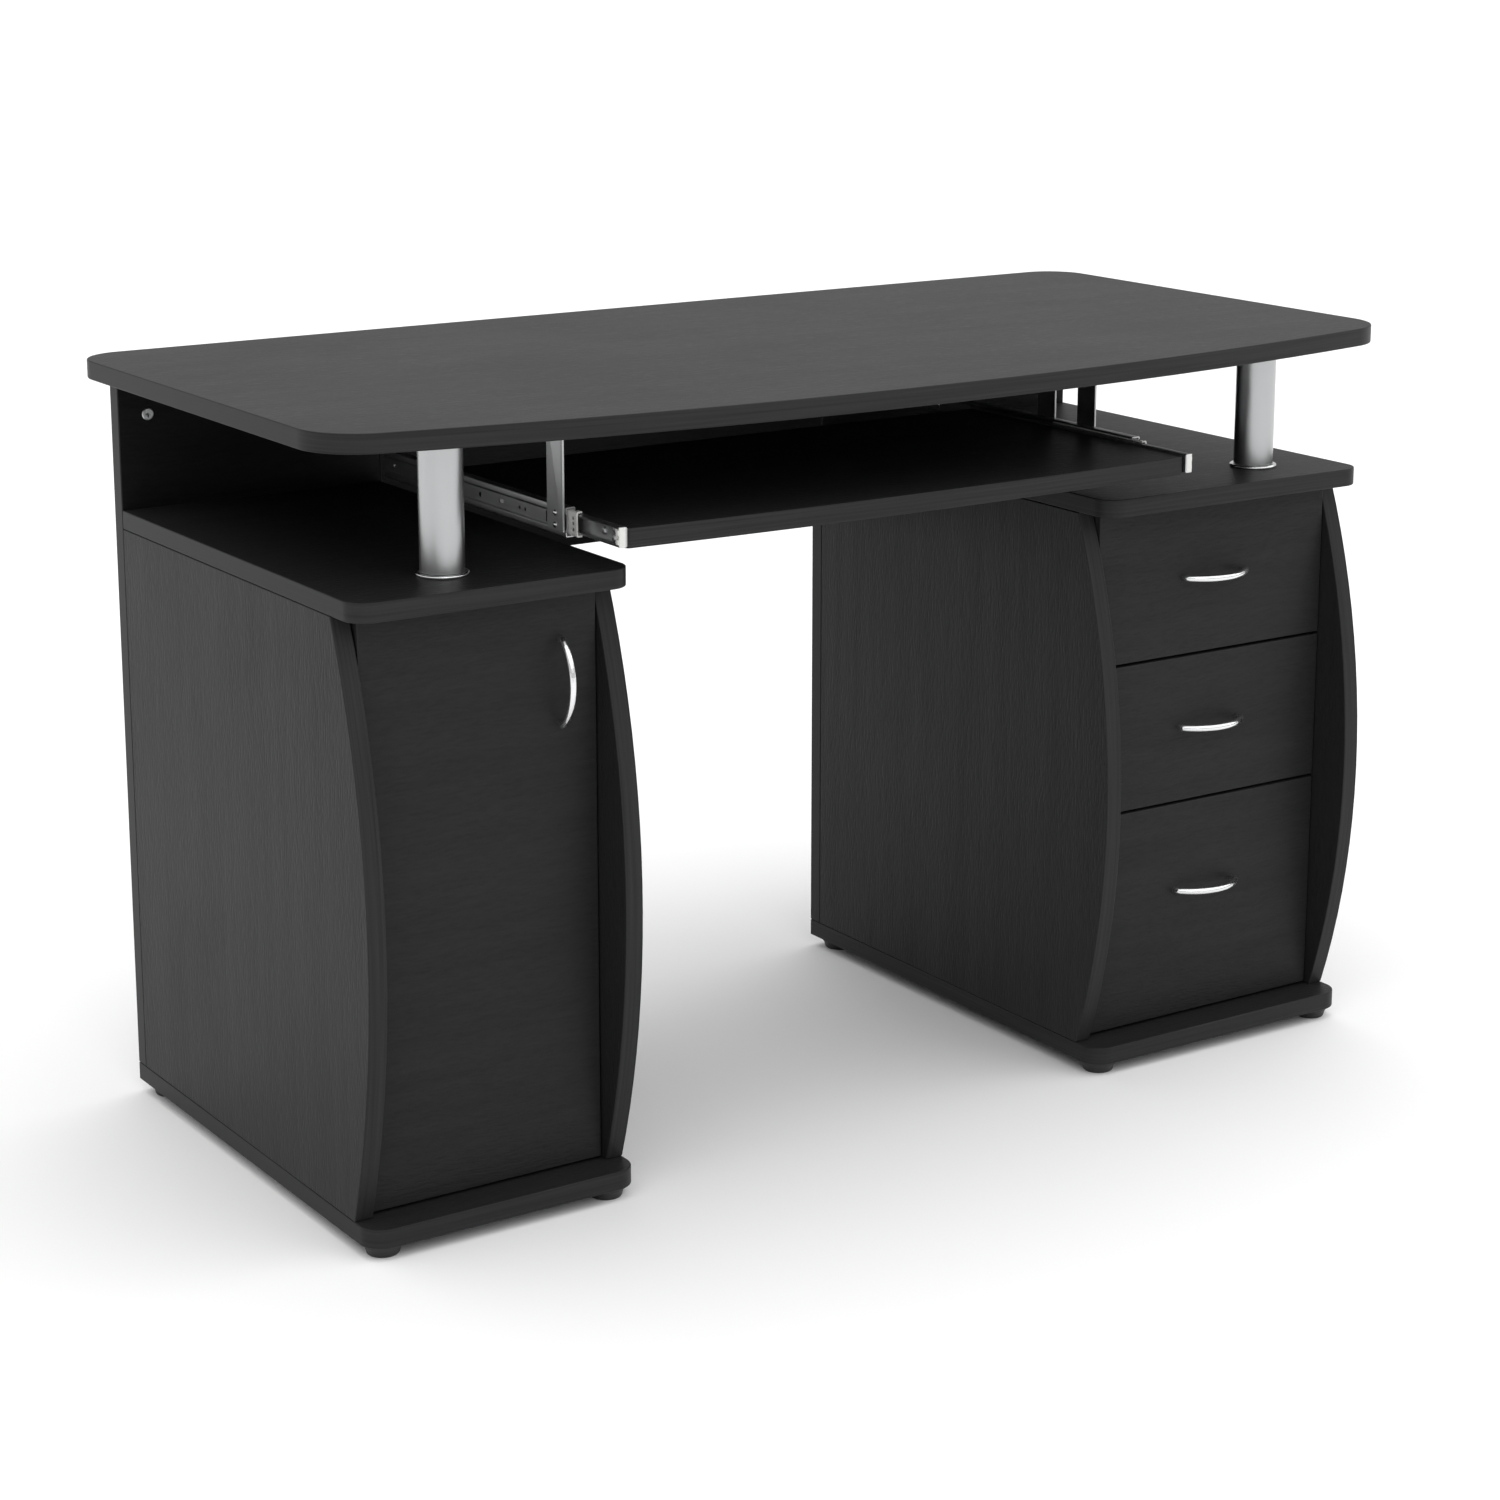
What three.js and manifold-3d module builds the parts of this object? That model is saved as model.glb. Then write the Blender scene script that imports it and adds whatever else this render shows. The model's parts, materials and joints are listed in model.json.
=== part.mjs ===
// Two-pedestal computer desk: a bowed desktop on two posts and two back panels, a cupboard with a
// hinged door on the left, three drawers on the right and a keyboard tray on ball-bearing slides.
// Millimetres, +Z up, X across the desk, -Y towards the user. The origin is the middle of the
// footprint on the floor. The tray is drawn part of the way out, as the desk is used.
import * as THREE from "three";
import { mergeVertices } from "three/addons/utils/BufferGeometryUtils.js";
import Module from "manifold-3d";

const wasm = await Module();
wasm.setup();

// ---- driving sizes -------------------------------------------------------------------------
const DESK_WIDTH = 1200;
const DESK_DEPTH = 600;
const DESK_HEIGHT = 740;
const BOARD = 18; // melamine-faced chipboard
const SEAM = 0.3; // line left between boards that are screwed together

const DESKTOP_BOW = 64; // how far the front edge swells at mid-width
const DESKTOP_REAR_RADIUS = 45;
const DESKTOP_FRONT_RADIUS = 60;
const OVERHANG_SIDE = 25;
const OVERHANG_REAR = 28;
const OVERHANG_FRONT = 66; // from the crest of the bow back to the pedestal boards

const LEFT_WIDTH = 276;
const RIGHT_WIDTH = 336;
const PEDESTAL_RADIUS = 22; // front corners of the pedestal boards
const PANEL_BELLY = 9; // how far a side panel's front edge stands proud of the boards
const PANEL_TOP_SETBACK = 46;
const PANEL_FOOT_SETBACK = 31;
const FRONT_SETBACK = 36; // door and drawer faces behind the front of the boards
const MODESTY_HEIGHT = 220;

const FOOT_HEIGHT = 12;
const FOOT_TOP_RADIUS = 18;
const FOOT_BOTTOM_RADIUS = 15;
const FOOT_INSET = 23;

const POST_DIAMETER = 40;
const POST_WALL = 1.5;
const POST_FLANGE_LIP = 4;
const POST_FLANGE_HEIGHT = 3;
const LEFT_POST_INSET = 120; // from the pedestal's outer face to the post's axis
const RIGHT_POST_INSET = 90;
const POST_FRONT_INSET = 67; // from the front of the pedestal boards to the post's axis

const DOOR_GAP_SIDE = 2;
const DOOR_GAP_END = 3;
const DOOR_HANDLE_EDGE = 38;
const DOOR_HANDLE_DROP = 82;
const HINGE_CUP_DIAMETER = 35;
const HINGE_CUP_DEPTH = 11.5;
const HINGE_CUP_MARGIN = 5; // door left between its edge and the cup
const HINGE_FROM_END = 80;
const CUPBOARD_SHELF_SETBACK = 30;

const TOP_DRAWER_FRONT = 156;
const MIDDLE_DRAWER_FRONT = 151;
const DRAWER_WALL = 12;
const DRAWER_BOTTOM = 4;
const DRAWER_FRONT_RIM = 26; // front standing above the drawer's sides
const DRAWER_FRONT_SKIRT = 20; // front hanging below the drawer's sides
const DRAWER_REAR_CLEARANCE = 28;
const RUNNER_WIDTH = 12.5;
const RUNNER_HEIGHT = 30;
const RUNNER_SHEET = 1.2;

const HANDLE_SPAN = 78;
const HANDLE_PROJECTION = 24;
const HANDLE_ROD = 7;

const TRAY_OVERLAP_LEFT = 26; // tray edge beyond the inner face of the left pedestal
const TRAY_OVERLAP_RIGHT = 70;
const TRAY_REAR_SETBACK = 8; // tray's rear ahead of the rear of its slide members
const TRAY_BOW = 10;
const TRAY_RADIUS = 5;
const KEYBOARD_HEIGHT = 86; // clear height over the tray
const TRAY_CLEARANCE = 24; // under the tray, over the pedestals
const TRAY_PULL = 84; // how far out the tray is drawn
const SLIDE_SETBACK = 120; // front of the fixed members behind the crest of the desktop's bow
const SLIDE_REAR_CLEARANCE = 84; // from the fixed members to the back panels
const SLIDE_HEIGHT = 27;
const SLIDE_SHEET = 1.2;
const SLIDE_WIDTH = 12.7;
const SLIDE_RISE = 2; // slide's centre line over the tray's
const SLIDE_END_PROUD = 2; // tray members past the tray's front corners
const CAGE_LENGTH = 140;
const CAGE_PROUD = 14; // past the fixed member, with the tray drawn out this far
const CAGE_THICKNESS = 1.8;
const RUNNING_GAP = 0.7; // between a slide member and the ball cage
const STRAP_WIDTH = 28;
const STRAP_SHEET = 2;
const STRAP_FOOT = 20;
const LEFT_STRAPS = { front: 1, rear: 200 }; // behind the front of the fixed member
const RIGHT_STRAPS = { front: 71, rear: 135 };

// ---- places worked out from them -------------------------------------------------------------
const FRONT = -DESK_DEPTH / 2;
const REAR = DESK_DEPTH / 2;
const UNDERSIDE = DESK_HEIGHT - BOARD;
const TRAY_BOTTOM = UNDERSIDE - KEYBOARD_HEIGHT - BOARD;
const PEDESTAL_TOP = TRAY_BOTTOM - TRAY_CLEARANCE;
const BOARDS_FRONT = FRONT + OVERHANG_FRONT;
const BACK_REAR = REAR - OVERHANG_REAR;
const BACK_FRONT = BACK_REAR - BOARD;
const BASE_TOP = FOOT_HEIGHT + BOARD;
const PANEL_TOP = PEDESTAL_TOP - BOARD;
const FACE = BOARDS_FRONT + FRONT_SETBACK; // front face of the door and drawers
const FACE_BACK = FACE + BOARD;
const LEFT_OUTER = -DESK_WIDTH / 2 + OVERHANG_SIDE;
const LEFT_INNER = LEFT_OUTER + LEFT_WIDTH;
const RIGHT_OUTER = DESK_WIDTH / 2 - OVERHANG_SIDE;
const RIGHT_INNER = RIGHT_OUTER - RIGHT_WIDTH;
const LEFT = { name: "left", low: LEFT_OUTER, high: LEFT_INNER };
const RIGHT = { name: "right", low: RIGHT_INNER, high: RIGHT_OUTER };

// ---- finishes --------------------------------------------------------------------------------
const finish = (color, roughness, metalness) =>
  new THREE.MeshStandardMaterial({ color, roughness, metalness });
const MELAMINE = finish("#2c2c2e", 0.45, 0);
const CARCASS = finish("#232324", 0.55, 0);
const DRAWER_BOX = finish("#2a2a2b", 0.6, 0);
const SATIN_TUBE = finish("#b9bbbd", 0.32, 1);
const SATIN_HANDLE = finish("#c8cacc", 0.25, 1);
const ZINC = finish("#a4a7aa", 0.4, 1);
const RUNNER_COAT = finish("#d9d9d6", 0.5, 0.1);
const CAGE_PLASTIC = finish("#d8d8d4", 0.5, 0);
const FOOT_PLASTIC = finish("#151515", 0.6, 0);

// ---- helpers ---------------------------------------------------------------------------------
const desk = new THREE.Group();

function add(name, geometry, material, x = 0, y = 0, z = 0) {
  const mesh = new THREE.Mesh(geometry, material);
  mesh.name = name;
  mesh.position.set(x, y, z);
  desk.add(mesh);
}

// A rectangular board between two corners.
function addBoard(name, material, [x0, x1], [y0, y1], [z0, z1]) {
  const geometry = new THREE.BoxGeometry(x1 - x0, y1 - y0, z1 - z0);
  add(name, geometry, material, (x0 + x1) / 2, (y0 + y1) / 2, (z0 + z1) / 2);
}

const extrude = (shape, depth, curveSegments = 8) =>
  new THREE.ExtrudeGeometry(shape, { depth, curveSegments, bevelEnabled: false });

// An outline drawn in (y, z) and extruded along +X.
function extrudeAcross(shape, width, curveSegments) {
  const turn = new THREE.Matrix4().makeBasis(
    new THREE.Vector3(0, 1, 0),
    new THREE.Vector3(0, 0, 1),
    new THREE.Vector3(1, 0, 0),
  );
  return extrude(shape, width, curveSegments).applyMatrix4(turn);
}

// An outline drawn in (x, z) and extruded from y = 0 towards the user.
function extrudeForward(shape, length) {
  return extrude(shape, length).rotateX(Math.PI / 2);
}

function polygon(points) {
  return new THREE.Shape(points.map(([a, b]) => new THREE.Vector2(a, b)));
}

function lathe(points, segments = 32) {
  const profile = points.map(([r, h]) => new THREE.Vector2(r, h));
  return new THREE.LatheGeometry(profile, segments).rotateX(Math.PI / 2);
}

function solid(geometry) {
  const bare = new THREE.BufferGeometry();
  const source = geometry.index ? geometry.toNonIndexed() : geometry;
  bare.setAttribute("position", source.getAttribute("position"));
  const merged = mergeVertices(bare, 1e-3);
  const vertProperties = merged.attributes.position.array;
  const triVerts = new Uint32Array(merged.index.array);
  return new wasm.Manifold(new wasm.Mesh({ numProp: 3, vertProperties, triVerts }));
}

function surface(manifold) {
  const { numProp, vertProperties, triVerts } = manifold.getMesh();
  const geometry = new THREE.BufferGeometry();
  const count = vertProperties.length / numProp;
  const positions = new Float32Array(count * 3);
  for (let i = 0; i < count; i++) {
    positions.set(vertProperties.subarray(i * numProp, i * numProp + 3), i * 3);
  }
  geometry.setAttribute("position", new THREE.BufferAttribute(positions, 3));
  geometry.setIndex(new THREE.BufferAttribute(new Uint32Array(triVerts), 1));
  geometry.computeVertexNormals();
  return geometry;
}

const boxAt = ([x0, x1], [y0, y1], [z0, z1]) =>
  new THREE.BoxGeometry(x1 - x0, y1 - y0, z1 - z0).translate(
    (x0 + x1) / 2,
    (y0 + y1) / 2,
    (z0 + z1) / 2,
  );

// The circle of a bow that rises by sag over a half-chord.
const bowRadius = (halfChord, sag) => (halfChord ** 2 + sag ** 2) / (2 * sag);

// A board outline with a bowed front edge: straight rear and sides, round corners.
function bowedOutline(width, rearY, crestY, bow, rearRadius, frontRadius) {
  const half = width / 2;
  const radius = bowRadius(half, bow);
  const centreY = crestY + radius;
  const cornerX = half - frontRadius;
  const cornerY = centreY - Math.sqrt((radius - frontRadius) ** 2 - cornerX ** 2);
  const lean = Math.atan2(cornerX, centreY - cornerY);
  const shape = new THREE.Shape();
  shape.absarc(0, centreY, radius, -Math.PI / 2 - lean, -Math.PI / 2 + lean, false);
  shape.absarc(cornerX, cornerY, frontRadius, -Math.PI / 2 + lean, 0, false);
  if (rearRadius > 0) {
    const rearX = half - rearRadius;
    shape.absarc(rearX, rearY - rearRadius, rearRadius, 0, Math.PI / 2, false);
    shape.absarc(-rearX, rearY - rearRadius, rearRadius, Math.PI / 2, Math.PI, false);
  } else {
    shape.lineTo(half, rearY);
    shape.lineTo(-half, rearY);
  }
  shape.absarc(-cornerX, cornerY, frontRadius, Math.PI, (3 * Math.PI) / 2 - lean, false);
  return shape;
}

// ---- desktop ---------------------------------------------------------------------------------
const desktopOutline = bowedOutline(
  DESK_WIDTH,
  REAR,
  FRONT,
  DESKTOP_BOW,
  DESKTOP_REAR_RADIUS,
  DESKTOP_FRONT_RADIUS,
);
add("desktop", extrude(desktopOutline, BOARD, 10), MELAMINE, 0, 0, UNDERSIDE);

// ---- pedestals -------------------------------------------------------------------------------
// A pedestal board: square at the rear, round at the two front corners.
function pedestalOutline(low, high, rearY) {
  const r = PEDESTAL_RADIUS;
  const shape = new THREE.Shape();
  shape.absarc(low + r, BOARDS_FRONT + r, r, Math.PI, 1.5 * Math.PI, false);
  shape.absarc(high - r, BOARDS_FRONT + r, r, 1.5 * Math.PI, 2 * Math.PI, false);
  shape.lineTo(high, rearY);
  shape.lineTo(low, rearY);
  return shape;
}

// A side panel: its front edge is one arc that swells out between the boards.
function sidePanel() {
  const top = PANEL_TOP - SEAM;
  const foot = BASE_TOP + SEAM;
  const topY = BOARDS_FRONT + PANEL_TOP_SETBACK;
  const footY = BOARDS_FRONT + PANEL_FOOT_SETBACK;
  const rise = new THREE.Vector2(topY - footY, top - foot);
  const middle = new THREE.Vector2((topY + footY) / 2, (top + foot) / 2);
  const radius = bowRadius(rise.length() / 2, middle.x - (BOARDS_FRONT - PANEL_BELLY));
  const away = Math.sqrt(radius ** 2 - (rise.length() / 2) ** 2);
  const centre = middle.add(new THREE.Vector2(rise.y, -rise.x).setLength(away));
  const start = Math.atan2(top - centre.y, topY - centre.x);
  const end = Math.atan2(foot - centre.y, footY - centre.x) + 2 * Math.PI;
  const shape = new THREE.Shape();
  shape.absarc(centre.x, centre.y, radius, start, end, false);
  shape.lineTo(BACK_FRONT - SEAM, foot);
  shape.lineTo(BACK_FRONT - SEAM, top);
  return extrudeAcross(shape, BOARD, 10);
}

const footProfile = [
  [0, 0],
  [FOOT_BOTTOM_RADIUS - 2, 0],
  [FOOT_BOTTOM_RADIUS, 2],
  [FOOT_TOP_RADIUS, FOOT_HEIGHT - SEAM],
  [0, FOOT_HEIGHT - SEAM],
];

for (const { name, low, high } of [LEFT, RIGHT]) {
  const base = extrude(pedestalOutline(low, high, BACK_REAR), BOARD, 5);
  add(`${name}_base`, base, MELAMINE, 0, 0, FOOT_HEIGHT);
  const top = extrude(pedestalOutline(low, high, BACK_FRONT - SEAM), BOARD, 5);
  add(`${name}_pedestal_top`, top, MELAMINE, 0, 0, PANEL_TOP);
  add(`${name}_side_panel_west`, sidePanel(), MELAMINE, low);
  add(`${name}_side_panel_east`, sidePanel(), MELAMINE, high - BOARD);
  addBoard(
    `${name}_back_panel`,
    CARCASS,
    [low, high],
    [BACK_FRONT, BACK_REAR],
    [BASE_TOP + SEAM, UNDERSIDE - SEAM],
  );
  for (const [end, y] of [
    ["front", BOARDS_FRONT + FOOT_INSET],
    ["rear", BACK_REAR - FOOT_INSET],
  ]) {
    add(`${name}_foot_${end}_west`, lathe(footProfile, 24), FOOT_PLASTIC, low + FOOT_INSET, y);
    add(`${name}_foot_${end}_east`, lathe(footProfile, 24), FOOT_PLASTIC, high - FOOT_INSET, y);
  }
}

addBoard(
  "modesty_panel",
  CARCASS,
  [LEFT_INNER + SEAM, RIGHT_INNER - SEAM],
  [BACK_FRONT, BACK_REAR],
  [UNDERSIDE - MODESTY_HEIGHT, UNDERSIDE - SEAM],
);

// ---- posts -----------------------------------------------------------------------------------
const postFoot = PEDESTAL_TOP + POST_FLANGE_HEIGHT + SEAM;
const postRing = new THREE.Shape().absarc(0, 0, POST_DIAMETER / 2, 0, 2 * Math.PI, false);
const postBore = new THREE.Path();
postBore.absarc(0, 0, POST_DIAMETER / 2 - POST_WALL, 0, 2 * Math.PI, true);
postRing.holes.push(postBore);
const flangeRadius = POST_DIAMETER / 2 + POST_FLANGE_LIP;
const flangeProfile = [
  [0, 0],
  [flangeRadius, 0],
  [flangeRadius, POST_FLANGE_HEIGHT - 1],
  [flangeRadius - 1, POST_FLANGE_HEIGHT],
  [0, POST_FLANGE_HEIGHT],
];
for (const [name, x] of [
  ["left", LEFT_OUTER + LEFT_POST_INSET],
  ["right", RIGHT_OUTER - RIGHT_POST_INSET],
]) {
  const y = BOARDS_FRONT + POST_FRONT_INSET;
  const tube = extrude(postRing, UNDERSIDE - SEAM - postFoot, 16);
  add(`${name}_post`, tube, SATIN_TUBE, x, y, postFoot);
  add(`${name}_post_flange`, lathe(flangeProfile), SATIN_TUBE, x, y, PEDESTAL_TOP + SEAM);
}

// ---- bow handles -----------------------------------------------------------------------------
// A round rod bent to an arc, its two ends cut flat where they meet the face behind them. It
// spans X and stands out towards the user from y = 0.
function bowHandle() {
  const radius = bowRadius(HANDLE_SPAN / 2, HANDLE_PROJECTION);
  const centreY = radius - HANDLE_PROJECTION;
  const sweep = Math.asin(HANDLE_SPAN / 2 / radius) + HANDLE_ROD / radius;
  const path = new THREE.Curve();
  path.getPoint = (t) => {
    const angle = (2 * t - 1) * sweep;
    return new THREE.Vector3(radius * Math.sin(angle), centreY - radius * Math.cos(angle), 0);
  };
  const section = new THREE.Shape().absarc(0, 0, HANDLE_ROD / 2, 0, 2 * Math.PI, false);
  const rod = new THREE.ExtrudeGeometry(section, {
    extrudePath: path,
    steps: 16,
    curveSegments: 5,
  });
  const reach = HANDLE_SPAN + 4 * HANDLE_ROD;
  const behind = boxAt([-reach, reach], [-SEAM, reach], [-reach, reach]);
  return surface(solid(rod).subtract(solid(behind)));
}

// ---- cupboard --------------------------------------------------------------------------------
const cupboard = {
  low: LEFT_OUTER + BOARD,
  high: LEFT_INNER - BOARD,
  foot: BASE_TOP + DOOR_GAP_END,
  head: PANEL_TOP - DOOR_GAP_END,
};
const doorLow = cupboard.low + DOOR_GAP_SIDE;
const doorHigh = cupboard.high - DOOR_GAP_SIDE;
const cupRadius = HINGE_CUP_DIAMETER / 2;
const cupX = doorLow + HINGE_CUP_MARGIN + cupRadius;
const hingeHeights = [
  ["lower", cupboard.foot + HINGE_FROM_END],
  ["upper", cupboard.head - HINGE_FROM_END],
];
const cupRim = 1.5;

let door = solid(
  boxAt([doorLow, doorHigh], [FACE, FACE_BACK], [cupboard.foot, cupboard.head]),
);
for (const [, z] of hingeHeights) {
  const bore = new THREE.CylinderGeometry(
    cupRadius + SEAM,
    cupRadius + SEAM,
    2 * (HINGE_CUP_DEPTH + SEAM),
    32,
  );
  door = door.subtract(solid(bore.translate(cupX, FACE_BACK, z)));
}
add("cupboard_door", surface(door), MELAMINE);
const doorHandle = bowHandle().rotateY(Math.PI / 2);
const doorHandleZ = cupboard.head - DOOR_HANDLE_DROP;
add("door_handle", doorHandle, SATIN_HANDLE, doorHigh - DOOR_HANDLE_EDGE, FACE, doorHandleZ);

// A hinge cup, open towards the cupboard, and the arm that reaches it from the side panel.
const cupProfile = [
  [0, -HINGE_CUP_DEPTH],
  [cupRadius, -HINGE_CUP_DEPTH],
  [cupRadius, SEAM],
  [cupRadius + 3, SEAM],
  [cupRadius + 3, SEAM + cupRim],
  [cupRadius - 2, SEAM + cupRim],
  [cupRadius - 2, 2 - HINGE_CUP_DEPTH],
  [0, 2 - HINGE_CUP_DEPTH],
];
const armStart = FACE_BACK + SEAM + cupRim + 1;
const armOutline = polygon([
  [cupboard.low + SEAM, armStart + 24],
  [cupboard.low + SEAM + 10, armStart + 10],
  [cupboard.low + SEAM + 10, armStart],
  [cupX + 6, armStart],
  [cupX + 6, armStart + 7],
  [cupX - 4, armStart + 16],
  [cupboard.low + SEAM + 14, armStart + 28],
  [cupboard.low + SEAM + 14, armStart + 72],
  [cupboard.low + SEAM, armStart + 76],
]);
const armThickness = 16;
for (const [level, z] of hingeHeights) {
  const cup = lathe(cupProfile).rotateX(-Math.PI / 2);
  add(`door_hinge_cup_${level}`, cup, ZINC, cupX, FACE_BACK, z);
  add(`door_hinge_arm_${level}`, extrude(armOutline, armThickness), ZINC, 0, 0, z - armThickness / 2);
}

addBoard(
  "cupboard_shelf",
  CARCASS,
  [cupboard.low + SEAM, cupboard.high - SEAM],
  [FACE_BACK + CUPBOARD_SHELF_SETBACK, BACK_FRONT - SEAM],
  [(cupboard.foot + cupboard.head - BOARD) / 2, (cupboard.foot + cupboard.head + BOARD) / 2],
);

// ---- drawers ---------------------------------------------------------------------------------
const drawerLow = RIGHT_INNER + BOARD;
const drawerHigh = RIGHT_OUTER - BOARD;
const drawerHead = PANEL_TOP - DOOR_GAP_END;
const drawerFoot = BASE_TOP + DOOR_GAP_END;
const middleHead = drawerHead - TOP_DRAWER_FRONT - DOOR_GAP_END;
const bottomHead = middleHead - MIDDLE_DRAWER_FRONT - DOOR_GAP_END;
const drawers = [
  { name: "top_drawer", head: drawerHead, foot: middleHead + DOOR_GAP_END, handleRise: 2 },
  { name: "middle_drawer", head: middleHead, foot: bottomHead + DOOR_GAP_END, handleRise: 3 },
  { name: "bottom_drawer", head: bottomHead, foot: drawerFoot, handleRise: 22 },
];
const wrapLow = drawerLow + RUNNER_WIDTH;
const wrapHigh = drawerHigh - RUNNER_WIDTH;
const wrapFront = FACE_BACK + SEAM;
const wrapRear = BACK_FRONT - DRAWER_REAR_CLEARANCE;
const groove = 6; // how far the bottom enters the drawer's sides
const bottomRise = 10;

// A C-shaped channel lying along Y, its open side towards +X.
function runnerChannel() {
  const w = RUNNER_WIDTH - 2;
  const h = RUNNER_HEIGHT;
  const t = RUNNER_SHEET;
  const outline = polygon([
    [0, 0],
    [w, 0],
    [w, t],
    [t, t],
    [t, h - t],
    [w, h - t],
    [w, h],
    [0, h],
  ]);
  const length = wrapRear - wrapFront;
  return extrudeForward(outline, length).translate(0, length / 2, 0);
}

for (const { name, head, foot, handleRise } of drawers) {
  const wrapFoot = foot + DRAWER_FRONT_SKIRT;
  const wrapHead = head - DRAWER_FRONT_RIM;
  addBoard(
    `${name}_front`,
    MELAMINE,
    [drawerLow + DOOR_GAP_SIDE, drawerHigh - DOOR_GAP_SIDE],
    [FACE, FACE_BACK],
    [foot, head],
  );
  const wrap = polygon([
    [wrapLow, wrapFront],
    [wrapLow + DRAWER_WALL, wrapFront],
    [wrapLow + DRAWER_WALL, wrapRear - DRAWER_WALL],
    [wrapHigh - DRAWER_WALL, wrapRear - DRAWER_WALL],
    [wrapHigh - DRAWER_WALL, wrapFront],
    [wrapHigh, wrapFront],
    [wrapHigh, wrapRear],
    [wrapLow, wrapRear],
  ]);
  const bottomX = [wrapLow + DRAWER_WALL - groove, wrapHigh - DRAWER_WALL + groove];
  const bottomY = [wrapFront, wrapRear - DRAWER_WALL + groove];
  const bottomZ = [wrapFoot + bottomRise, wrapFoot + bottomRise + DRAWER_BOTTOM];
  const slot = boxAt(
    [bottomX[0] - SEAM, bottomX[1] + SEAM],
    [bottomY[0] - DRAWER_WALL, bottomY[1] + SEAM],
    [bottomZ[0] - SEAM, bottomZ[1] + SEAM],
  );
  const sides = extrude(wrap, wrapHead - wrapFoot).translate(0, 0, wrapFoot);
  add(`${name}_wrap`, surface(solid(sides).subtract(solid(slot))), DRAWER_BOX);
  addBoard(`${name}_bottom`, DRAWER_BOX, bottomX, bottomY, bottomZ);
  const handleZ = (foot + head) / 2 + handleRise;
  add(`${name}_handle`, bowHandle(), SATIN_HANDLE, (drawerLow + drawerHigh) / 2, FACE, handleZ);
  const runnerY = (wrapFront + wrapRear) / 2;
  const runnerZ = wrapFoot - SEAM;
  const east = runnerChannel().rotateZ(Math.PI);
  add(`${name}_runner_west`, runnerChannel(), RUNNER_COAT, drawerLow + SEAM, runnerY, runnerZ);
  add(`${name}_runner_east`, east, RUNNER_COAT, drawerHigh - SEAM, runnerY, runnerZ);
}

// ---- keyboard tray ---------------------------------------------------------------------------
const trayLow = LEFT_INNER - TRAY_OVERLAP_LEFT;
const trayHigh = RIGHT_INNER + TRAY_OVERLAP_RIGHT;
const slideZ = TRAY_BOTTOM + BOARD / 2 + SLIDE_RISE;
const fixedFront = FRONT + SLIDE_SETBACK;
const slideLength = BACK_FRONT - SLIDE_REAR_CLEARANCE - fixedFront;
const movingFront = fixedFront - TRAY_PULL;
const trayCorner = movingFront + SLIDE_END_PROUD;
const trayRear = movingFront + slideLength - TRAY_REAR_SETBACK;
const trayOutline = bowedOutline(
  trayHigh - trayLow,
  trayRear,
  trayCorner - TRAY_BOW,
  TRAY_BOW,
  0,
  TRAY_RADIUS,
);
const trayX = (trayLow + trayHigh) / 2;
add("keyboard_tray", extrude(trayOutline, BOARD), MELAMINE, trayX, 0, TRAY_BOTTOM);

// A channel open towards the tray: outreach is the distance of its back from the tray's edge.
function slideSection(inreach, outreach, halfHeight, sheet) {
  return polygon([
    [inreach, halfHeight],
    [inreach, halfHeight - sheet],
    [outreach - sheet, halfHeight - sheet],
    [outreach - sheet, sheet - halfHeight],
    [inreach, sheet - halfHeight],
    [inreach, -halfHeight],
    [outreach, -halfHeight],
    [outreach, halfHeight],
  ]);
}

// The tray's own member turns its back to the tray, and its flanges point outwards.
function traySection(inreach, outreach, halfHeight, sheet) {
  return polygon([
    [inreach, halfHeight],
    [inreach, -halfHeight],
    [outreach, -halfHeight],
    [outreach, sheet - halfHeight],
    [inreach + sheet, sheet - halfHeight],
    [inreach + sheet, halfHeight - sheet],
    [outreach, halfHeight - sheet],
    [outreach, halfHeight],
  ]);
}

const fixedHalf = SLIDE_HEIGHT / 2;
const cageHalf = fixedHalf - SLIDE_SHEET - RUNNING_GAP;
const cageBack = SLIDE_WIDTH - SLIDE_SHEET - RUNNING_GAP;
const movingHalf = cageHalf - CAGE_THICKNESS - RUNNING_GAP;
const movingReach = cageBack - CAGE_THICKNESS - RUNNING_GAP;
const strapLow = SLIDE_WIDTH + SEAM;
const strapTop = UNDERSIDE - SEAM - slideZ;
const strapOutline = polygon([
  [strapLow, -fixedHalf],
  [strapLow + STRAP_SHEET, -fixedHalf],
  [strapLow + STRAP_SHEET, strapTop - STRAP_SHEET],
  [strapLow + STRAP_FOOT, strapTop - STRAP_SHEET],
  [strapLow + STRAP_FOOT, strapTop],
  [strapLow, strapTop],
]);

const slideMembers = [
  {
    name: "fixed_member",
    section: slideSection(2.5, SLIDE_WIDTH, fixedHalf, SLIDE_SHEET),
    front: fixedFront,
    length: slideLength,
    material: ZINC,
  },
  {
    name: "ball_cage",
    section: slideSection(3.4, cageBack, cageHalf, CAGE_THICKNESS),
    front: fixedFront - CAGE_PROUD,
    length: CAGE_LENGTH,
    material: CAGE_PLASTIC,
  },
  {
    name: "tray_member",
    section: traySection(SEAM, movingReach, movingHalf, SLIDE_SHEET),
    front: movingFront,
    length: slideLength,
    material: ZINC,
  },
];

function strap(name, setback) {
  return {
    name,
    section: strapOutline,
    front: fixedFront + setback,
    length: STRAP_WIDTH,
    material: ZINC,
  };
}

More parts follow.
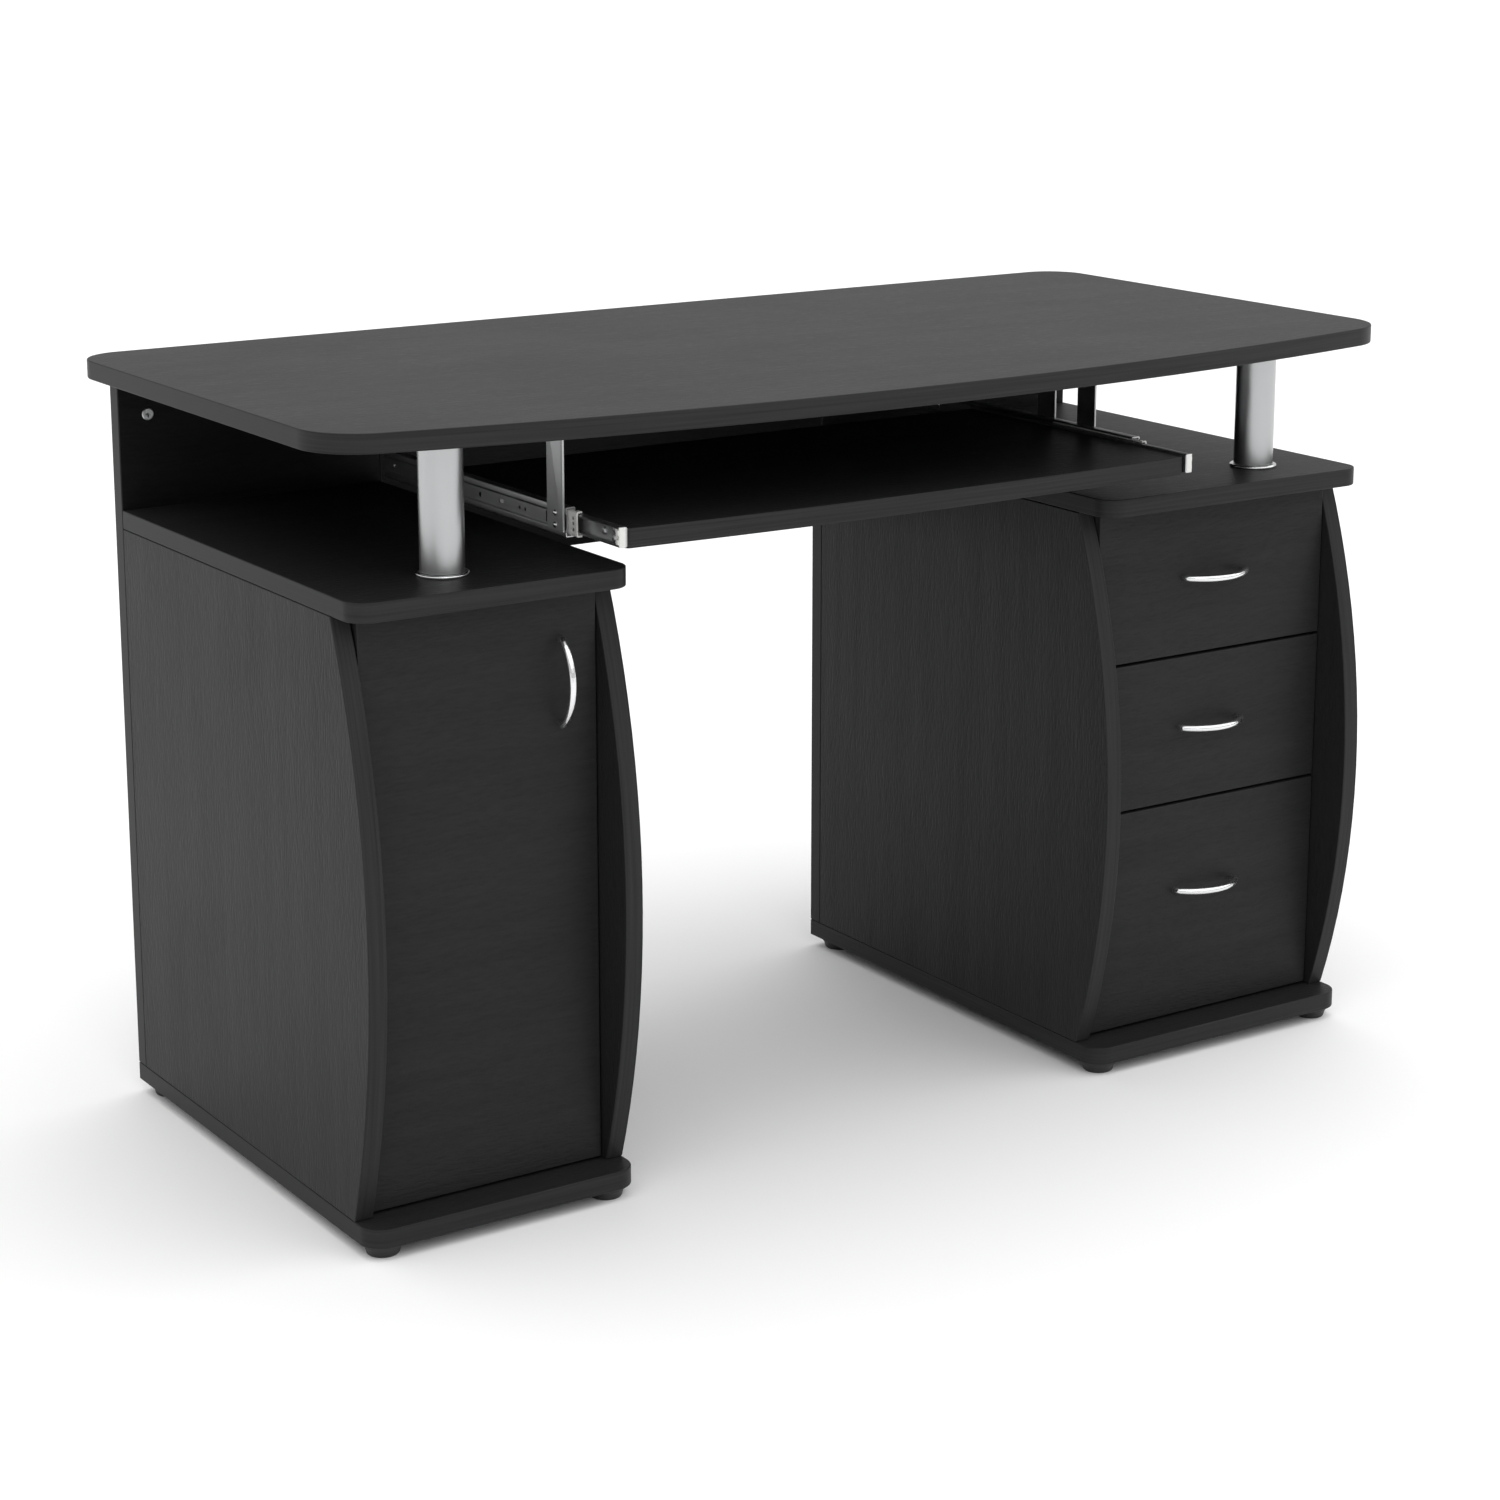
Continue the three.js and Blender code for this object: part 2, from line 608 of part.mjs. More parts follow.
for (const { side, edge, turn, straps } of [
  { side: "left", edge: trayLow, turn: Math.PI, straps: LEFT_STRAPS },
  { side: "right", edge: trayHigh, turn: 0, straps: RIGHT_STRAPS },
]) {
  const pieces = [
    ...slideMembers,
    strap("front_strap", straps.front),
    strap("rear_strap", straps.rear),
  ];
  for (const { name, section, front, length, material } of pieces) {
    const centred = extrudeForward(section, length).translate(0, length / 2, 0).rotateZ(turn);
    add(`${side}_slide_${name}`, centred, material, edge, front + length / 2, slideZ);
  }
}

export default desk;
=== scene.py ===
"""Computer desk with a keyboard tray: black wood-grain boards, satin metal posts and bow handles,
ball-bearing tray slides, roller drawer runners and cup hinges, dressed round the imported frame."""

import json
import math

import bmesh
import bpy
from bpy.props import FloatProperty, FloatVectorProperty, IntProperty, PointerProperty
from mathutils import Matrix, Vector

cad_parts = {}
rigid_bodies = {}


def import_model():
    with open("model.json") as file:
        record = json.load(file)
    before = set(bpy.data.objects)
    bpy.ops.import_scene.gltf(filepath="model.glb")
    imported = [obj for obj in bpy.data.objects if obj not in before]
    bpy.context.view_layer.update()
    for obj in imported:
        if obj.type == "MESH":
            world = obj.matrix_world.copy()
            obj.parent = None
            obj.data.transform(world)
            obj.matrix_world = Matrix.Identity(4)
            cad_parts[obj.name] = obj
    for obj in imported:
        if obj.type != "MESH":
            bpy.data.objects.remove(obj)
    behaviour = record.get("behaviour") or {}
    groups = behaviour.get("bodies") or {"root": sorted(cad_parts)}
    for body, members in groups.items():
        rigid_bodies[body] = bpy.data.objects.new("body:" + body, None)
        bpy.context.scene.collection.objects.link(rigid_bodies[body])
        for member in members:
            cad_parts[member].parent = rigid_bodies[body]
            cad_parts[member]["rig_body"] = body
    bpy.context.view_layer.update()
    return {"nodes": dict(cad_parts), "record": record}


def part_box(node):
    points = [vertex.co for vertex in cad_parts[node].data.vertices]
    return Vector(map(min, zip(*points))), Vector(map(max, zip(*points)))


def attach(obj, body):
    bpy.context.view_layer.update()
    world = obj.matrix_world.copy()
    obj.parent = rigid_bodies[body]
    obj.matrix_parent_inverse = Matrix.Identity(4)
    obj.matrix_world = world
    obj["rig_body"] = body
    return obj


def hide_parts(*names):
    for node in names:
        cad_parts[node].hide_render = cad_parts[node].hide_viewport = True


bl_info = {
    "name": "Computer desk with keyboard tray",
    "version": (1, 0, 0),
    "blender": (4, 5, 0),
    "location": "3D View > Sidebar > Desk",
    "description": "Builds the desk's boards, metalwork, slides, runners and hinges",
    "category": "Object",
}

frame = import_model()
NODES = frame["nodes"]
SLOTS = {part["node"]: part["material_slot"] for part in frame["record"]["subparts"]}
MM = 0.001
BOARD_IOR = 1.20  # of the thin clear layer on the melamine, so low that the boards stay near black
X_AXIS, Y_AXIS, Z_AXIS = Vector((1, 0, 0)), Vector((0, 1, 0)), Vector((0, 0, 1))
AXES = {"x": X_AXIS, "y": Y_AXIS, "z": Z_AXIS}
BALL_STEEL = (0.70, 0.70, 0.71)
RAIL_SHEET = 1.2 * MM  # steel of the tray slides' members and the drawer runners
STRAP_SHEET = 2.0 * MM
EDGE_SLOT = 1  # a board's second material, its edge band
FLOOR_REACH = 60.0  # metres, far enough to pass for the horizon
FULL_FRAME = 36.0  # width of the camera's sensor, in millimetres
FAR_CLIP = 200.0
SOFTBOX_AIM = Vector((0, 0, 0.4))
SOFTBOXES = (  # name, place, width, power in watts
    ("key_softbox", (-1.6, -4.2, 2.6), 1.8, 8.0),
    ("rim_softbox", (3.6, -1.6, 2.0), 1.2, 5.0),
)
OVERHEAD_ANGLE = math.radians(120)
OVERHEAD_TURN = (math.radians(14), math.radians(8), 0)
HINGE_LEVELS = ("lower", "upper")
DRAWERS = ("top_drawer", "middle_drawer", "bottom_drawer")
SIDES = {"left": -1, "right": 1}  # the way a slide's back faces from the tray, along X


# ---- sizes and colours a user would change -----------------------------------------------------
def length(name, description, default, **limits):
    return FloatProperty(
    name=name,
    description=description,
    default=default,
    subtype="DISTANCE",
    unit="LENGTH",
     **limits )


def colour(name, description, default):
    return FloatVectorProperty(
        name=name, description=description, default=default, subtype="COLOR", size=3, min=0, max=1
    )


class DeskFinishes(bpy.types.PropertyGroup):
    """Colours and surface depths of the finishes."""

    board: colour("Board", "Colour of the melamine faces", (0.0165, 0.0165, 0.0170))
    edge: colour("Edge band", "Colour of the edge bands", (0.0225, 0.0225, 0.0232))
    carcass: colour(
    "Carcass",
    "Colour of the back, modesty and shelf boards",
    (0.0065,
    0.0065,
     0.0068))
    drawer: colour("Drawer box", "Colour of the drawer sides and bottoms", (0.014, 0.014, 0.0145))
    tube: colour("Post", "Colour of the satin aluminium posts", (0.46, 0.465, 0.47))
    handle: colour("Handle", "Colour of the satin chromed handles", (0.78, 0.785, 0.79))
    zinc: colour("Zinc", "Colour of the plated slides and screws", (0.46, 0.465, 0.47))
    runner: colour("Runner", "Colour of the powder coat on the runners", (0.72, 0.71, 0.67))
    nylon: colour("Nylon", "Colour of the rollers, cages and end caps", (0.66, 0.66, 0.635))
    foot: colour("Foot", "Colour of the moulded feet", (0.012, 0.012, 0.013))
    emboss: length("Emboss depth", "Depth of the wood pores pressed in the boards", 0.16 * MM)


class DeskBoards(bpy.types.PropertyGroup):
    """Sizes of the boards' edges."""

    edge_radius: length("Edge radius", "Rounding of a banded board edge", 1.1 * MM, min=0)
    thin_radius: length("Thin edge radius", "Rounding of the drawer box edges", 0.5 * MM, min=0)
    segments: IntProperty(
    name="Segments",
    description="Steps round an edge",
    default=3,
    min=1,
     max=6)


class DeskHardware(bpy.types.PropertyGroup):
    """Sizes of screws, rivets, balls and rollers."""

    screw_head: length("Screw head", "Diameter of a pan head", 7.0 * MM)
    screw_rise: length("Screw rise", "Height of a pan head", 2.0 * MM)
    rivet_head: length("Rivet head", "Diameter of a rivet head", 5.5 * MM)
    strap_lift: length("Strap lift", "Foot of a strap above the slide's lower edge", 4.5 * MM)
    ball: length("Ball", "Diameter of a slide's balls", 3.5 * MM)
    ball_pitch: length("Ball pitch", "Distance between two balls", 11.0 * MM)
    handle_leg: length("Handle leg", "Height of a handle's legs, below its bow", 6.0 * MM)
    roller: length("Roller", "Diameter of a drawer runner's roller", 15.0 * MM)
    cam_cover: length("Cam cover", "Diameter of the covers over the cam fittings", 12.0 * MM)
    cam_inset: length("Cam inset", "Cam centre below the desktop", 37.0 * MM)


class DeskStage(bpy.types.PropertyGroup):
    """Camera and lighting."""

    azimuth: FloatProperty( name="Azimuth", description="Camera's bearing",
                           default=math.radians(-33.49), subtype="ANGLE" )
    tilt: FloatProperty(
    name="Tilt",
    description="Camera's downward tilt",
    default=math.radians(12.84),
     subtype="ANGLE" )
    distance: length("Distance", "From the camera to the point it looks at", 3.255)
    aim: FloatVectorProperty( name="Aim", description="Point on the camera's axis",
                             default=(-0.023, 0.0, 0.485), subtype="XYZ" )
    lens: FloatProperty(name="Lens", description="Focal length", default=78.8, unit="CAMERA")
    rise: FloatProperty(name="Rise", description="Vertical lens shift", default=-0.1)
    floor: colour("Floor", "Colour of the floor", (0.92, 0.92, 0.92))
    sky: FloatProperty(name="Sky", description="Strength of the surround overhead", default=1.0)
    horizon: FloatProperty(
    name="Horizon",
    description="Strength of the surround at the floor",
     default=0.52)
    overhead: FloatProperty(
    name="Overhead",
    description="Strength of the broad overhead light",
     default=1.6)


GROUPS = {
    "desk_finishes": DeskFinishes,
    "desk_boards": DeskBoards,
    "desk_hardware": DeskHardware,
    "desk_stage": DeskStage,
}


def settings(group):
    return getattr(bpy.context.scene, "desk_" + group)


# ---- node helpers ------------------------------------------------------------------------------
def add_node(tree, kind, inputs=None, **attributes):
    """Adds a node. Each input is a plain value, or an output socket to link from."""
    node = tree.nodes.new(kind)
    for name, value in attributes.items():
        setattr(node, name, value)
    for key, value in (inputs or {}).items():
        if isinstance(value, bpy.types.NodeSocket):
            tree.links.new(value, node.inputs[key])
        else:
            node.inputs[key].default_value = value
    return node


def new_group(name, kind, inputs, outputs):
    """An empty node group with its named sockets, and its input and output nodes."""
    tree = bpy.data.node_groups.new(name, kind)
    for in_out, sockets in (("INPUT", inputs), ("OUTPUT", outputs)):
        for socket_name, socket_type in sockets.items():
            tree.interface.new_socket(
    socket_name,
    in_out=in_out,
    socket_type="NodeSocket" +
     socket_type)
    return tree, tree.nodes.new("NodeGroupInput").outputs, tree.nodes.new("NodeGroupOutput").inputs


def math_node(tree, operation, first, second=0.0, **attributes):
    return add_node(tree, "ShaderNodeMath", {0: first, 1: second},
                    operation=operation, **attributes).outputs[0]


# ---- shader groups -----------------------------------------------------------------------------
def wood_emboss_group():
    """Pores and streaks of a pressed wood grain. The vector's X runs along the grain."""
    name = "Wood emboss"
    if name in bpy.data.node_groups:
        return bpy.data.node_groups[name]
    tree, given, result = new_group(
        name, "ShaderNodeTree", {"Vector": "Vector"}, {"Height": "Float", "Tone": "Float"}
    )
    sway = add_node(
    tree, "ShaderNodeTexNoise", {
        "Vector": given["Vector"], "Scale": 9.0, "Detail": 2.0})
    swayed = add_node(
        tree,
        "ShaderNodeVectorMath",
        {0: sway.outputs["Color"], 1: (0.0, 0.012, 0.012), 2: given["Vector"]},
        operation="MULTIPLY_ADD",
    )
    layers = {}
    for layer, scale, detail in (
        ("pores", (85.0, 420.0, 420.0), 2.0),
        ("figure", (22.0, 170.0, 170.0), 2.0),
        ("streaks", (2.5, 45.0, 45.0), 3.0),
    ):
        stretched = add_node(
            tree, "ShaderNodeVectorMath", {0: swayed.outputs[0], 1: scale}, operation="MULTIPLY"
        )
        noise = add_node(
            tree,
            "ShaderNodeTexNoise",
            {"Vector": stretched.outputs[0], "Scale": 1.0, "Detail": detail, "Roughness": 0.55},
        )
        layers[layer] = noise.outputs["Fac"]
    pores = add_node(
        tree, "ShaderNodeMapRange", {"Value": layers["pores"], "From Min": 0.34, "From Max": 0.56}
    ).outputs[0]
    figure = math_node(tree, "MULTIPLY", layers["figure"], 0.9)
    height = math_node(tree, "ADD", math_node(tree, "MULTIPLY", pores, 0.75), figure)
    streaks = math_node(tree, "MULTIPLY", layers["streaks"], 0.55)
    shade = math_node(tree, "ADD", math_node(tree, "MULTIPLY", pores, 0.20), streaks)
    tone = math_node(tree, "ADD", math_node(tree, "MULTIPLY", layers["figure"], 0.45), shade)
    tree.links.new(height, result["Height"])
    tree.links.new(tone, result["Tone"])
    return tree


def drawn_metal_group():
    """Fine drawn lines along the vector's X, and a slow mottling."""
    name = "Drawn metal"
    if name in bpy.data.node_groups:
        return bpy.data.node_groups[name]
    tree, given, result = new_group(
        name,
        "ShaderNodeTree",
        {"Vector": "Vector", "Line Scale": "Float"},
        {"Height": "Float", "Mottle": "Float"},
    )
    squeezed = add_node(
    tree, "ShaderNodeVectorMath", {
        0: given["Vector"], 1: (
            0.02, 1.0, 1.0)}, operation="MULTIPLY" )
    lines = add_node(
        tree,
        "ShaderNodeTexNoise",
        {"Vector": squeezed.outputs[0], "Scale": given["Line Scale"], "Detail": 3.0},
    )
    mottle = add_node(
        tree, "ShaderNodeTexNoise", {"Vector": given["Vector"], "Scale": 38.0, "Detail": 4.0}
    )
    tree.links.new(lines.outputs["Fac"], result["Height"])
    tree.links.new(mottle.outputs["Fac"], result["Mottle"])
    return tree


def moulded_group():
    """The fine pebbled skin of moulded plastic, powder coat and foil."""
    name = "Moulded skin"
    if name in bpy.data.node_groups:
        return bpy.data.node_groups[name]
    tree, given, result = new_group(
    name, "ShaderNodeTree", {
        "Vector": "Vector", "Scale": "Float"}, {
            "Height": "Float", "Tone": "Float"} )
    pebbles = add_node( tree,
    "ShaderNodeTexVoronoi",
    {"Vector": given["Vector"],
    "Scale": given["Scale"]},
     feature="SMOOTH_F1" )
    cloud = add_node(
    tree, "ShaderNodeTexNoise", {
        "Vector": given["Vector"], "Scale": 30.0, "Detail": 3.0})
    tree.links.new(pebbles.outputs["Distance"], result["Height"])
    tree.links.new(cloud.outputs["Fac"], result["Tone"])
    return tree


def handling_group():
    """Broad soft patches where hands and cloths have passed."""
    name = "Handling"
    if name in bpy.data.node_groups:
        return bpy.data.node_groups[name]
    tree, given, result = new_group(name, "ShaderNodeTree", {"Vector": "Vector"}, {"Mask": "Float"})
    patches = add_node( tree,
    "ShaderNodeTexNoise",
    {"Vector": given["Vector"],
    "Scale": 5.5,
    "Detail": 5.0,
     "Roughness": 0.62} )
    mask = add_node(
        tree,
        "ShaderNodeMapRange",
        {"Value": patches.outputs["Fac"], "From Min": 0.38, "From Max": 0.68},
        interpolation_type="SMOOTHSTEP",
    )
    tree.links.new(mask.outputs[0], result["Mask"])
    return tree


# ---- materials ---------------------------------------------------------------------------------
# The turn that brings each axis of the desk onto the pattern's X.
GRAIN_TURN = {"x": (0, 0, 0), "y": (0, 0, -math.pi / 2), "z": (0, math.pi / 2, 0)}


def spread(tree, value, low, high):
    """Maps a 0 to 1 pattern onto low to high."""
    return add_node(
    tree, "ShaderNodeMapRange", {
        "Value": value, "To Min": low, "To Max": high}).outputs[0]


def tinted(tree, base, tone, depth):
    """The base colour, darkened and lightened by depth as the tone goes from 0 to 1."""
    pale = [min(1.0, channel * (1 + depth)) for channel in base]
    dark = [channel * (1 - depth) for channel in base]
    mix = add_node(tree, "ShaderNodeMix", {"Factor": tone}, data_type="RGBA")
    mix.inputs["A"].default_value = (*dark, 1.0)
    mix.inputs["B"].default_value = (*pale, 1.0)
    return mix.outputs["Result"]


def new_material(name, turn=(0, 0, 0)):
    """A material with a Principled shader, and coordinates turned for the pattern."""
    material = bpy.data.materials.new(name)
    material.use_nodes = True
    tree = material.node_tree
    shader = tree.nodes["Principled BSDF"]
    place = add_node(tree, "ShaderNodeTexCoord").outputs["Object"]
    vector = add_node(tree, "ShaderNodeMapping", {"Vector": place, "Rotation": turn}).outputs[0]
    return material, tree, shader, vector


def group_node(tree, group, **inputs):
    node = tree.nodes.new("ShaderNodeGroup")
    node.node_tree = group
    for key, value in inputs.items():
        socket = node.inputs[key.replace("_", " ").title()]
        if isinstance(value, bpy.types.NodeSocket):
            tree.links.new(value, socket)
        else:
            socket.default_value = value
    return node.outputs


def bump(tree, shader, height, distance, strength=1.0):
    relief = add_node(
    tree, "ShaderNodeBump", {
        "Height": height, "Distance": distance, "Strength": strength})
    tree.links.new(relief.outputs["Normal"], shader.inputs["Normal"])


def board_material(name, base, grain, roughness, emboss, tone_depth=0.16):
    """A melamine face whose grain runs along one axis of the desk."""
    material, tree, shader, vector = new_material(name, GRAIN_TURN[grain])
    wood = group_node(tree, wood_emboss_group(), vector=vector)
    handling = group_node(tree, handling_group(), vector=vector)["Mask"]
    tree.links.new(tinted(tree, base, wood["Tone"], tone_depth), shader.inputs["Base Color"])
    rough = spread(tree, wood["Height"], roughness - 0.05, roughness + 0.05)
    worn = math_node(tree, "ADD", rough, spread(tree, handling, -0.010, 0.014))
    tree.links.new(worn, shader.inputs["Roughness"])
    shader.inputs["IOR"].default_value = BOARD_IOR
    tree.links.new(spread(tree, wood["Tone"], 0.27, 0.73), shader.inputs["Specular IOR Level"])
    bump(tree, shader, wood["Height"], emboss)
    return material


def edge_material(name, base, thin, emboss):
    """An edge band, its fine lines running along the board whichever way the edge turns."""
    material, tree, shader, vector = new_material(name)
    across = [6.0, 6.0, 6.0]
    across["xyz".index(thin)] = 520.0
    squeezed = add_node(tree, "ShaderNodeVectorMath", {0: vector, 1: across}, operation="MULTIPLY")
    lines = add_node(
        tree, "ShaderNodeTexNoise", {"Vector": squeezed.outputs[0], "Scale": 1.0, "Detail": 3.0}
    ).outputs["Fac"]
    tree.links.new(tinted(tree, base, lines, 0.55), shader.inputs["Base Color"])
    tree.links.new(spread(tree, lines, 0.34, 0.50), shader.inputs["Roughness"])
    shader.inputs["IOR"].default_value = BOARD_IOR
    bump(tree, shader, lines, emboss)
    return material


def metal_material(name, base, roughness, line_scale, line_depth, along="x", mottling=0.06):
    """A drawn, plated or brushed metal."""
    material, tree, shader, vector = new_material(name, GRAIN_TURN[along])
    drawn = group_node(tree, drawn_metal_group(), vector=vector, line_scale=line_scale)
    tree.links.new(tinted(tree, base, drawn["Mottle"], mottling), shader.inputs["Base Color"])
    lined = spread(tree, drawn["Height"], roughness - 0.06, roughness + 0.06)
    patched = math_node(tree, "ADD", lined, spread(tree, drawn["Mottle"], -mottling, mottling))
    tree.links.new(patched, shader.inputs["Roughness"])
    shader.inputs["Metallic"].default_value = 1.0
    bump(tree, shader, drawn["Height"], line_depth)
    return material


def plastic_material(name, base, roughness, scale, depth, tone_depth=0.08):
    """A moulded plastic, powder coat or foil."""
    material, tree, shader, vector = new_material(name)
    skin = group_node(tree, moulded_group(), vector=vector, scale=scale)
    tree.links.new(tinted(tree, base, skin["Tone"], tone_depth), shader.inputs["Base Color"])
    tree.links.new(
    spread(
        tree,
        skin["Tone"],
        roughness - 0.07,
        roughness + 0.07),
         shader.inputs["Roughness"])
    bump(tree, shader, skin["Height"], depth)
    return material


def finish(kind, axis="x"):
    """The named finish, made the first time that it is asked for."""
    # The suffix keeps a finish apart from the frame's own materials, some of which share its name.
    name = f"{kind}_{axis}_finish" if kind in (
    "melamine", "carcass", "edge_band") else f"{kind}_finish"
    if name in bpy.data.materials:
        return bpy.data.materials[name]
    look = settings("finishes")
    makers = {
    "melamine": lambda: board_material(
        name,
        look.board,
        axis,
        roughness=0.40,
        emboss=look.emboss),
        "carcass": lambda: board_material(
            name,
            look.carcass,
            axis,
            roughness=0.50,
            emboss=look.emboss),
            "edge_band": lambda: edge_material(
                name,
                look.edge,
                axis,
                emboss=0.06 * MM),
                "drawer_foil": lambda: plastic_material(
                    name,
                    look.drawer,
                    roughness=0.52,
                    scale=900.0,
                    depth=0.05 * MM),
                    "satin_tube": lambda: metal_material(
                        name,
                        look.tube,
                        roughness=0.31,
                        line_scale=900.0,
                        line_depth=0.01 * MM,
                        along="z",
                        mottling=0.03),
                        "satin_chrome": lambda: metal_material(
                            name,
                            look.handle,
                            roughness=0.20,
                            line_scale=500.0,
                            line_depth=0.006 * MM,
                            along="x",
                            mottling=0.03),
                            "zinc_plate": lambda: metal_material(
                                name,
                                look.zinc,
                                roughness=0.34,
                                line_scale=700.0,
                                line_depth=0.01 * MM,
                                along="y"),
                                "ball_steel": lambda: metal_material(
                                    name,
                                    BALL_STEEL,
                                    roughness=0.14,
                                    line_scale=300.0,
                                    line_depth=0.002 * MM),
                                    "powder_coat": lambda: plastic_material(
                                        name,
                                        look.runner,
                                        roughness=0.42,
                                        scale=420.0,
                                        depth=0.06 * MM,
                                        tone_depth=0.04),
                                        "white_nylon": lambda: plastic_material(
                                            name,
                                            look.nylon,
                                            roughness=0.40,
                                            scale=1500.0,
                                            depth=0.02 * MM,
                                            tone_depth=0.03),
                                            "black_plastic": lambda: plastic_material(
                                                name,
                                                look.foot,
                                                roughness=0.48,
                                                scale=1100.0,
                                                depth=0.08 * MM,
                                                tone_depth=0.15),
                                                 }
    return makers[kind]()


# ---- mesh helpers ------------------------------------------------------------------------------
def mesh_from(bm, name, *materials, smooth_under=40.0):
    """Turns a bmesh into a closed, outward-facing mesh, smooth but for its creases."""
    bmesh.ops.recalc_face_normals(bm, faces=bm.faces)
    mesh = bpy.data.meshes.new(name)
    bm.to_mesh(mesh)
    bm.free()
    for material in materials:
        mesh.materials.append(material)
    smooth(mesh, smooth_under)
    return mesh


def smooth(mesh, smooth_under=40.0):
    mesh.shade_smooth()
    mesh.set_sharp_from_angle(angle=math.radians(smooth_under))


def add_object(name, data):
    """A new object of that name, linked to the scene."""
    item = bpy.data.objects.new(name, data)
    bpy.context.scene.collection.objects.link(item)
    return item


def add_piece(name, mesh, body, replaces=()):
    """Puts a finished mesh in the scene, on its body, and hides the parts it replaces."""
    piece = add_object(name, mesh)
    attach(piece, body)
    if replaces:
        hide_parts(*replaces)
    return piece


def body_of(node):
    return NODES[node]["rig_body"]


def soften(piece, radius, segments, sharper_than=30):
    """A live bevel on every edge that turns by more than an angle in degrees."""
    bevel = piece.modifiers.new("Edge radius", "BEVEL")
    bevel.width = radius
    bevel.segments = segments
    bevel.limit_method = "ANGLE"
    bevel.angle_limit = math.radians(sharper_than)
    bevel.harden_normals = True
    return bevel


def evaluated_mesh(piece):
    """The piece's mesh with its modifiers worked out, as a plain mesh."""
    graph = bpy.context.evaluated_depsgraph_get()
    return bpy.data.meshes.new_from_object(piece.evaluated_get(graph))


def revolve(bm, profile, centre, axis=Z_AXIS, segments=64, closed=False):
    """Turns a profile of (radius, height) round an axis. An open profile starts and ends on it."""
    turn = Z_AXIS.rotation_difference(axis).to_matrix()
    rings = []
    for radius, height in profile:
        if radius < 1e-7:
            rings.append([bm.verts.new(centre + turn @ Vector((0, 0, height)))])
            continue
        ring = []
        for step in range(segments):
            angle = 2 * math.pi * step / segments
            offset = Vector((radius * math.cos(angle), radius * math.sin(angle), height))
            ring.append(bm.verts.new(centre + turn @ offset))
        rings.append(ring)
    pairs = list(zip(rings, rings[1:]))
    if closed:
        pairs.append((rings[-1], rings[0]))
    for lower, upper in pairs:
        for step in range(segments):
            after = (step + 1) % segments
            corners = [
                lower[step % len(lower)],
                lower[after % len(lower)],
                upper[after % len(upper)],
                upper[step % len(upper)],
            ]
            bm.faces.new(list(dict.fromkeys(corners)))


def arc(centre, radius, start, end, steps=5):
    """Points on an arc, its angles in degrees."""
    points = []
    for step in range(steps + 1):
        angle = math.radians(start + (end - start) * step / steps)
        points.append((centre[0] + radius * math.cos(angle), centre[1] + radius * math.sin(angle)))
    return points


def filleted(points, radius, steps=4):
    """An open line of points with its inner corners rounded."""
    line = [Vector(p) for p in points]
    rounded = [line[0]]
    for before, corner, after in zip(line, line[1:], line[2:]):
        back, ahead = (before - corner).normalized(), (after - corner).normalized()
        half = math.acos(max(-1.0, min(1.0, back.dot(ahead)))) / 2
        if half > math.radians(88):
            rounded.append(corner)
            continue
        reach = radius / math.tan(half)
        middle = corner + (back + ahead).normalized() * (radius / math.sin(half))
        first, last = corner + back * reach - middle, corner + ahead * reach - middle
        sweep = first.angle_signed(last)
        for step in range(steps + 1):
            turned = first.copy()
            turned.rotate(Matrix.Rotation(-sweep * step / steps, 2))
            rounded.append(middle + turned)
    rounded.append(line[-1])
    return rounded


def sheet_outline(points, radius, thickness):
    """The closed outline of a bent sheet whose middle follows the rounded line."""
    line = filleted(points, radius)
    left, right = [], []
    for index, point in enumerate(line):
        before = line[max(index - 1, 0)]
        after = line[min(index + 1, len(line) - 1)]
        along = (after - before).normalized()
        across = Vector((-along.y, along.x)) * thickness / 2
        left.append(point + across)
        right.append(point - across)
    return left + right[::-1]


def prism(bm, outline, start, end, place):
    """Joins an outline at start to the same outline at end. place(a, b, t) gives the point."""
    low = [bm.verts.new(place(a, b, start)) for a, b in outline]
    high = [bm.verts.new(place(a, b, end)) for a, b in outline]
    count = len(outline)
    for index in range(count):
        after = (index + 1) % count
        bm.faces.new((low[index], low[after], high[after], high[index]))
    bm.faces.new(low[::-1])
    bm.faces.new(high)


def box(bm, low, high, chamfer=0.0):
    """A box between two corners, its edges cut back a little."""
    size = high - low
    made = bmesh.ops.create_cube(bm, size=1.0, matrix=Matrix.Translation(
        (low + high) / 2) @ Matrix.Diagonal((*size, 1)))
    if chamfer:
        edges = list({edge for vert in made["verts"] for edge in vert.link_edges})
        bmesh.ops.bevel(bm, geom=edges, offset=chamfer, segments=2, profile=0.5, affect="EDGES")


def obround(first, last, width, steps=6):
    """A slot's outline: two half circles round its end points."""
    first, last = Vector(first), Vector(last)
    run = last - first
    heading = math.degrees(math.atan2(run.y, run.x))
    start = arc(first, width / 2, heading + 90, heading + 270, steps)
    end = arc(last, width / 2, heading - 90, heading + 90, steps)
    return start + end


def cut_slots(mesh, slots, x_range):
    """Cuts slots, each (y, z, run along y, run along z, width), through a sheet along X."""
    cutter = bmesh.new()
    for y, z, run_y, run_z, width in slots:
        reach = Vector((run_y, run_z)) / 2
        outline = obround(Vector((y, z)) - reach, Vector((y, z)) + reach, width)
        prism(cutter, outline, *x_range, lambda a, b, t: (t, a, b))
    cutter_piece = bpy.data.objects.new("cutter", mesh_from(cutter, "cutter"))
    piece = bpy.data.objects.new("cut", mesh)
    for item in (cutter_piece, piece):
        bpy.context.scene.collection.objects.link(item)
    cut = piece.modifiers.new("Slots", "BOOLEAN")
    cut.operation = "DIFFERENCE"
    cut.solver = "EXACT"
    cut.object = cutter_piece
    result = evaluated_mesh(piece)
    for item in (cutter_piece, piece):
        bpy.data.objects.remove(item)
    smooth(result)
    return result


